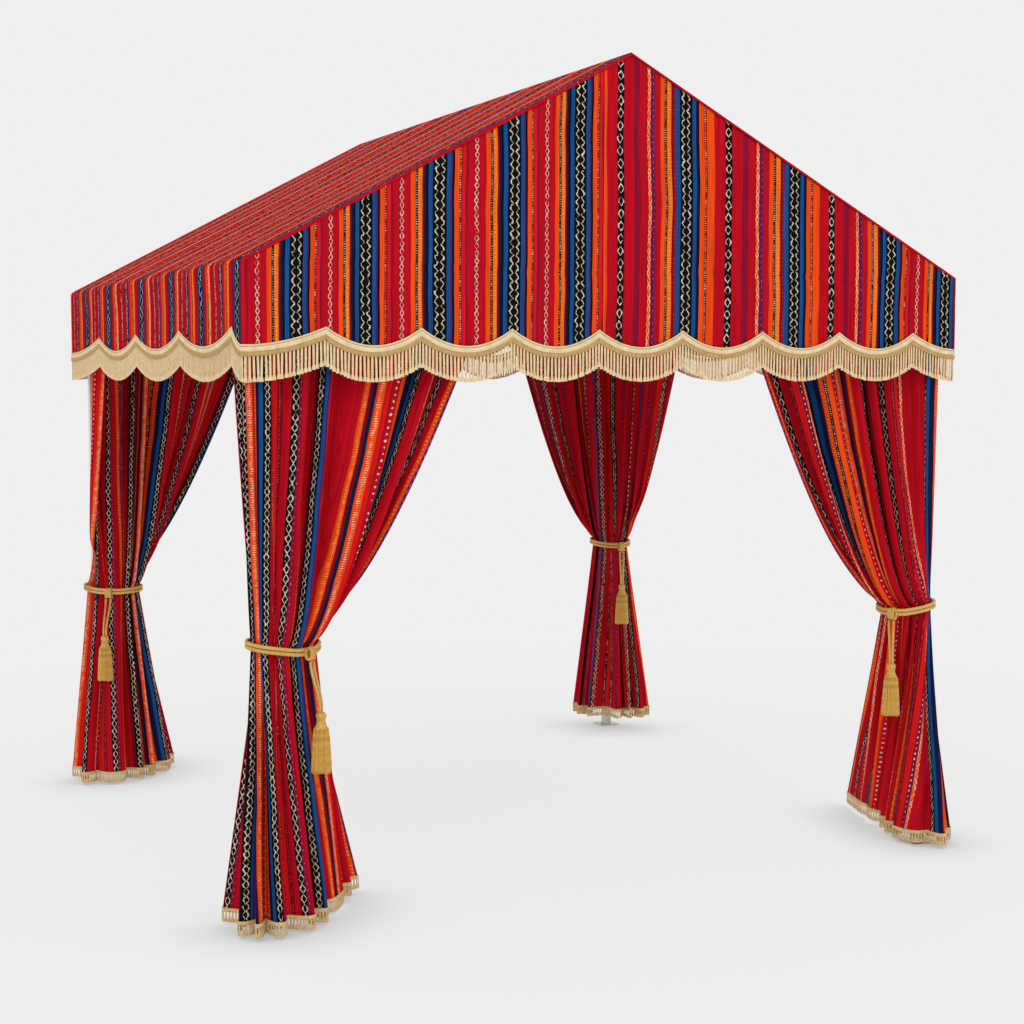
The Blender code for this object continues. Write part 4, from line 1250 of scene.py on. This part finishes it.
# %% [markdown]
# ## The curtains
#
# A curtain is a flat cloth gathered into folds, so it is made as one: columns of points run down
# the cloth, and at every height they follow the plain model's outer face and dip inwards in folds.
# Each fold keeps its own share of the cloth from top to bottom, so a stripe that starts on the
# crest of a fold stays on it, as it does on real curtains. Where the rope squeezes the cloth,
# the crests keep the pattern's true width and the rest of it disappears in the creases.

# %% Curtains
LEG_BOX = (0.062, 0.108)        # a curtain stays out of this square round a leg
RAIL_REACH = 0.022              # how far beyond its rail a fold may reach
FULLNESS = 1.32                 # cloth width for each metre of rail
HEM_TRIM = 0.052                # height of the hem's fringe


def fold_phase(share, folds, seed):
    """Phase of the folds at a share of the width; whole numbers are crests, also at both edges."""
    draw = random.Random(seed)
    first, second = draw.uniform(0, 6.28), draw.uniform(0, 6.28)
    uneven = 0.35 * math.sin(2 * math.pi * 1.3 * share + first) + 0.2 * math.sin(2 * math.pi * 3.1 * share + second)
    return folds * share + uneven * min(1, 6 * share, 6 * (1 - share))


def curtain_levels(corner, above=52, below=46):
    tie_z = CORNERS[corner]["tie_z"]
    upper, lower = tie_z + WAIST, tie_z - WAIST
    bottom = CORNERS[corner]["hem_z"] + HEM_TRIM - 0.006
    up = [upper + (CURTAIN_TOP - upper) * (k / above) ** 1.35 for k in range(above, -1, -1)]
    down = [lower - (lower - bottom) * (k / below) ** 1.2 for k in range(below + 1)]
    return up + [tie_z] + down


def curtain_width(corner):
    """Width of a curtain's cloth before it was gathered on its rail."""
    rail = CORNERS[corner]["rail"]
    return FULLNESS * sum(math.dist(p, q) for p, q in zip(rail, rail[1:]))


def fold_depth(corner, z, around, folds):
    """Depth of the folds at a height where the outer face is so long, and of the fine creases.

    The narrower the curtain is there, the deeper its cloth has to fold, as far as the bundle has
    room for it.
    """
    tie_z = CORNERS[corner]["tie_z"]
    far = (CURTAIN_TOP if z >= tie_z else CORNERS[corner]["hem_z"]) - tie_z
    share = min(1, max(0, abs(z - tie_z) - WAIST) / (abs(far) - WAIST))
    spare = math.sqrt(max(0, curtain_width(corner) ** 2 - around**2)) / folds / 2
    room = 0.034 + 0.041 * gentle(min(1, share * 2.0))
    return max(0.012, min(spare, room)), 0.006 * max(0, 1 - share * 1.8)


def room_before_leg(face, inward):
    """How deep a fold can dip from the outer face before it meets the square round the leg.

    Where a curtain hangs from the inside of its rail, it also stays within reach of the rail.
    """
    outside = [(start - RAIL_REACH) / -step for start, step in zip(face, inward)
               if step < -0.3 and start > RAIL_REACH]
    enter, leave = 0.0, 1.0
    for start, step in zip(face, inward):
        low, high = LEG_BOX
        if abs(step) < 1e-6:
            if not low < start < high:
                leave = -1.0
            continue
        near, far = sorted(((low - start) / step, (high - start) / step))
        enter, leave = max(enter, near), min(leave, far)
    return min(outside + [enter if enter < leave else 1.0])


def eased(room, reach=(6, 9)):
    """Smooth the room for folds down and across a curtain, nowhere above its own value."""
    for axis, near in enumerate(reach):
        margin = [(near, near) if k == axis else (0, 0) for k in (0, 1)]
        weights = np.hanning(2 * near + 3)[1:-1]
        for pick in (lambda values: values.min(axis=-1), lambda values: values @ (weights / weights.sum())):
            padded = np.pad(room, margin, mode="edge")
            room = pick(np.lib.stride_tricks.sliding_window_view(padded, 2 * near + 1, axis=axis))
    return room


def curtain_grid(corner, folds, columns, seed):
    levels = curtain_levels(corner)
    shares = np.linspace(0, 1, columns)
    phase = np.array([fold_phase(s, folds, seed) for s in shares])
    draw = random.Random(seed + 1)
    knots = [draw.uniform(0.75, 1.15) for _ in range(folds + 4)]
    strength = np.interp(phase, np.arange(-1, folds + 3), knots)
    dip = ((1 - np.cos(2 * np.pi * phase)) / 2) ** 1.35
    fine = (1 - np.cos(2 * np.pi * 3 * phase + 1)) / 2
    start, end = CORNERS[corner]["arc"]
    hand = 1 if end > start else -1
    grid = np.zeros((len(levels), columns, 3))
    flat = np.zeros((len(levels), columns, 2))
    across = np.zeros((len(levels), columns, 2))
    depth, room = np.zeros((2, len(levels), columns))
    for row, z in enumerate(levels):
        face = np.array([curtain_place(corner, s, z) for s in shares])
        ahead = np.gradient(face, axis=0)
        ahead /= np.linalg.norm(ahead, axis=1, keepdims=True)
        inward = np.stack([-ahead[:, 1], ahead[:, 0]], axis=-1) * hand
        around = np.linalg.norm(np.diff(face, axis=0), axis=1).sum()
        deep, crease = fold_depth(corner, z, around, folds)
        flat[row], across[row] = face, inward
        depth[row] = deep * strength * dip + crease * fine
        room[row] = [room_before_leg(f, i) / (1.2 * deep + crease) for f, i in zip(face, inward)]
    flat += across * (depth * np.minimum(1, eased(room)))[..., None]
    for row, z in enumerate(levels):
        for column, (a, b) in enumerate(flat[row]):
            grid[row, column] = place(corner, a, b, z)
        grid[row, :, 2] += tie_rise(corner, grid[row]) * math.exp(-((z - CORNERS[corner]["tie_z"]) / 0.16) ** 2)
    return levels, phase, dip, flat, grid


def cloth_across(flat, phase, dip, width):
    """Place across the cloth for every point: true lengths on the crests, the rest in the dips."""
    rows, columns = flat.shape[:2]
    step = np.linalg.norm(np.diff(flat, axis=1), axis=2)
    run = np.hstack([np.zeros((rows, 1)), np.cumsum(step, axis=1)])
    crests = np.arange(math.ceil(phase[0]), math.floor(phase[-1]) + 1)
    middle = width / (phase[-1] - phase[0])
    crest_u = (crests - phase[0]) * middle
    found = np.zeros((rows, columns))
    nearest = np.clip(np.round(phase), crests[0], crests[-1])
    for row in range(rows):
        crest_run = np.interp(crests, phase, run[row])
        own = nearest.astype(int) - crests[0]
        away = run[row] - crest_run[own]
        side = np.sign(away)
        half_phase = np.where(side > 0, nearest + 0.5, nearest - 0.5)
        half_run = np.abs(np.interp(half_phase, phase, run[row]) - crest_run[own])
        spare = np.clip(0.5 * middle - half_run, -0.6 * half_run, 0.35 * half_run)
        found[row] = crest_u[own] + away + side * spare * dip**3
    return found


CURTAIN_FOLDS = {"front_left": (8, 21), "front_right": (8, 34), "back_left": (7, 47), "back_right": (8, 52)}
CURTAIN_START = {"front_left": 0.30, "front_right": 0.30, "back_left": 0.15, "back_right": 0.30}


def curtain(corner, columns=231):
    folds, seed = CURTAIN_FOLDS[corner]
    levels, phase, dip, flat, grid = curtain_grid(corner, folds, columns, seed)
    across = cloth_across(flat, phase, dip, curtain_width(corner)) + CURTAIN_START[corner]
    drop = np.concatenate([[0], np.cumsum(np.linalg.norm(np.diff(grid, axis=0), axis=2).mean(axis=1))])
    uv = np.stack([across, np.broadcast_to(-drop[:, None], across.shape)], axis=-1)
    sign_x, sign_y = CORNERS[corner]["sign"]
    start, end = CORNERS[corner]["arc"]
    outward = sign_x * sign_y * (end - start) > 0
    mesh = grid_mesh(f"curtain_cloth_{corner}", grid, uv, flip=not outward)
    piece = thicken(add_object(mesh.name, mesh, CRIMSON if corner == "back_right" else CURTAINING))
    keep(piece, "striped_cloth", f"curtain_{corner}")
    hem = grid[-1].copy()
    out = hem_outward(corner, grid[-1])
    return piece, hem, out, float(drop[-1])


def hem_outward(corner, hem):
    """Direction away from the bundle at each point of a hem, level."""
    ahead = np.gradient(hem, axis=0)
    ahead /= np.linalg.norm(ahead, axis=1, keepdims=True)
    sign_x, sign_y = CORNERS[corner]["sign"]
    start, end = CORNERS[corner]["arc"]
    hand = 1 if (end > start) == (sign_x * sign_y > 0) else -1
    return np.stack([ahead[:, 1], -ahead[:, 0], np.zeros(len(hem))], axis=-1) * hand


def hem_trim(corner, hem, out):
    """Braid and tufted cords along a hem."""
    section = [(-0.008, 0.0003), (-0.007, 0.0026), (0.000, 0.0034), (0.006, 0.0026), (0.007, 0.0003)]
    rows = [hem + out * o - np.array((0, 0, d)) for d, o in section]
    points = np.array(rows)
    run = np.concatenate([[0], np.cumsum(np.linalg.norm(np.diff(hem, axis=0), axis=1))])
    uv = np.stack(np.meshgrid(run, [d for d, _ in section]), axis=-1)
    sign_x, sign_y = CORNERS[corner]["sign"]
    start, end = CORNERS[corner]["arc"]
    outward = sign_x * sign_y * (end - start) > 0
    mesh = grid_mesh("hem_braid", points, uv, flip=not outward)
    braid = thicken(add_object("hem_braid", mesh, HEM_CORD), 0.0012)
    line = hem + out * 0.0012 - np.array((0, 0, 0.005))
    strand = strand_template(HEM_TRIM - 0.012, 0.0036, 0.025, 0.0070)
    cords = repeat_along("hem_cords", line, strand, HEM_CORD, Spacing=0.0125, Lean=0.06,
                         Stretch=0.08, Seed=11)
    piece = join_pieces(f"hem_fringe_{corner}", [braid, cords])
    return keep(piece, "fringe_trim")


for corner in CORNERS:
    piece, hem, out, length = curtain(corner)
    trim = hem_trim(corner, hem, out)
    print(corner, "curtain:", len(piece.data.polygons), "faces,", round(length, 3), "m long")

# %% [markdown]
# ## Floor and light
#
# A product picture has no room in it. The floor is a wide pale disc that glows in the colour of the
# surroundings, with painted contact shadows and a little real shade near the tent; far from it only
# the glow is left, so no horizon shows.

# %% Floor, world and lights
SURROUND = "#EFEFEF"


def floor_look():
    look = bpy.data.materials.new("studio_floor")
    look.use_nodes = True
    tree = look.node_tree
    shader = tree.nodes["Principled BSDF"]
    shader.inputs["Base Color"].default_value = linear("#EDEDED")
    shader.inputs["Roughness"].default_value = 0.9
    shader.inputs["Specular IOR Level"].default_value = 0.1
    output = tree.nodes["Material Output"]
    place_ = add(tree, "ShaderNodeTexCoord")
    away = add(tree, "ShaderNodeVectorMath", place_.outputs["Object"], operation="LENGTH")
    share = add(tree, "ShaderNodeMapRange", away.outputs["Value"], 2.4, 5.5, 0.88, 1.0,
                interpolation_type="SMOOTHSTEP")
    # The glowing share carries a painted contact shadow: ambient occlusion darkens it only right next to something
    # that stands on the floor.
    painted_contact_shadow = add(tree, "ShaderNodeAmbientOcclusion", samples=8, inputs={"Distance": 0.32})
    strength = add(tree, "ShaderNodeMapRange", painted_contact_shadow.outputs["AO"], 0.3, 1.0, 0.52, 1.0)
    glow = add(tree, "ShaderNodeEmission", linear(SURROUND), strength.outputs[0])
    mixed = add(tree, "ShaderNodeMixShader", share.outputs[0], shader, glow)
    tree.links.new(mixed.outputs[0], output.inputs["Surface"])
    return look


bpy.ops.mesh.primitive_circle_add(vertices=96, radius=120, fill_type="NGON")
floor = bpy.context.object
floor.name = "studio_floor"
floor.data.materials.append(floor_look())

world = bpy.data.worlds.new("surround")
bpy.context.scene.world = world
world.use_nodes = True
world.node_tree.nodes["Background"].inputs["Color"].default_value = linear(SURROUND)
world.node_tree.nodes["Background"].inputs["Strength"].default_value = 1.0


def soft_light(name, where, size, watts):
    """Large square light that faces the middle of the tent."""
    lamp = bpy.data.lights.new(name, "AREA")
    lamp.size = size
    lamp.energy = watts
    made = bpy.data.objects.new(name, lamp)
    bpy.context.scene.collection.objects.link(made)
    made.location = where
    made.rotation_euler = (Vector((0, 0, 1.2)) - Vector(where)).to_track_quat("-Z", "Y").to_euler()
    return made


soft_light("key", (-4.5, -6.5, 6.0), 4.0, 110)
soft_light("fill", (5.5, -6.0, 4.0), 4.0, 40)
soft_light("top", (0.0, 1.0, 8.0), 5.0, 40)
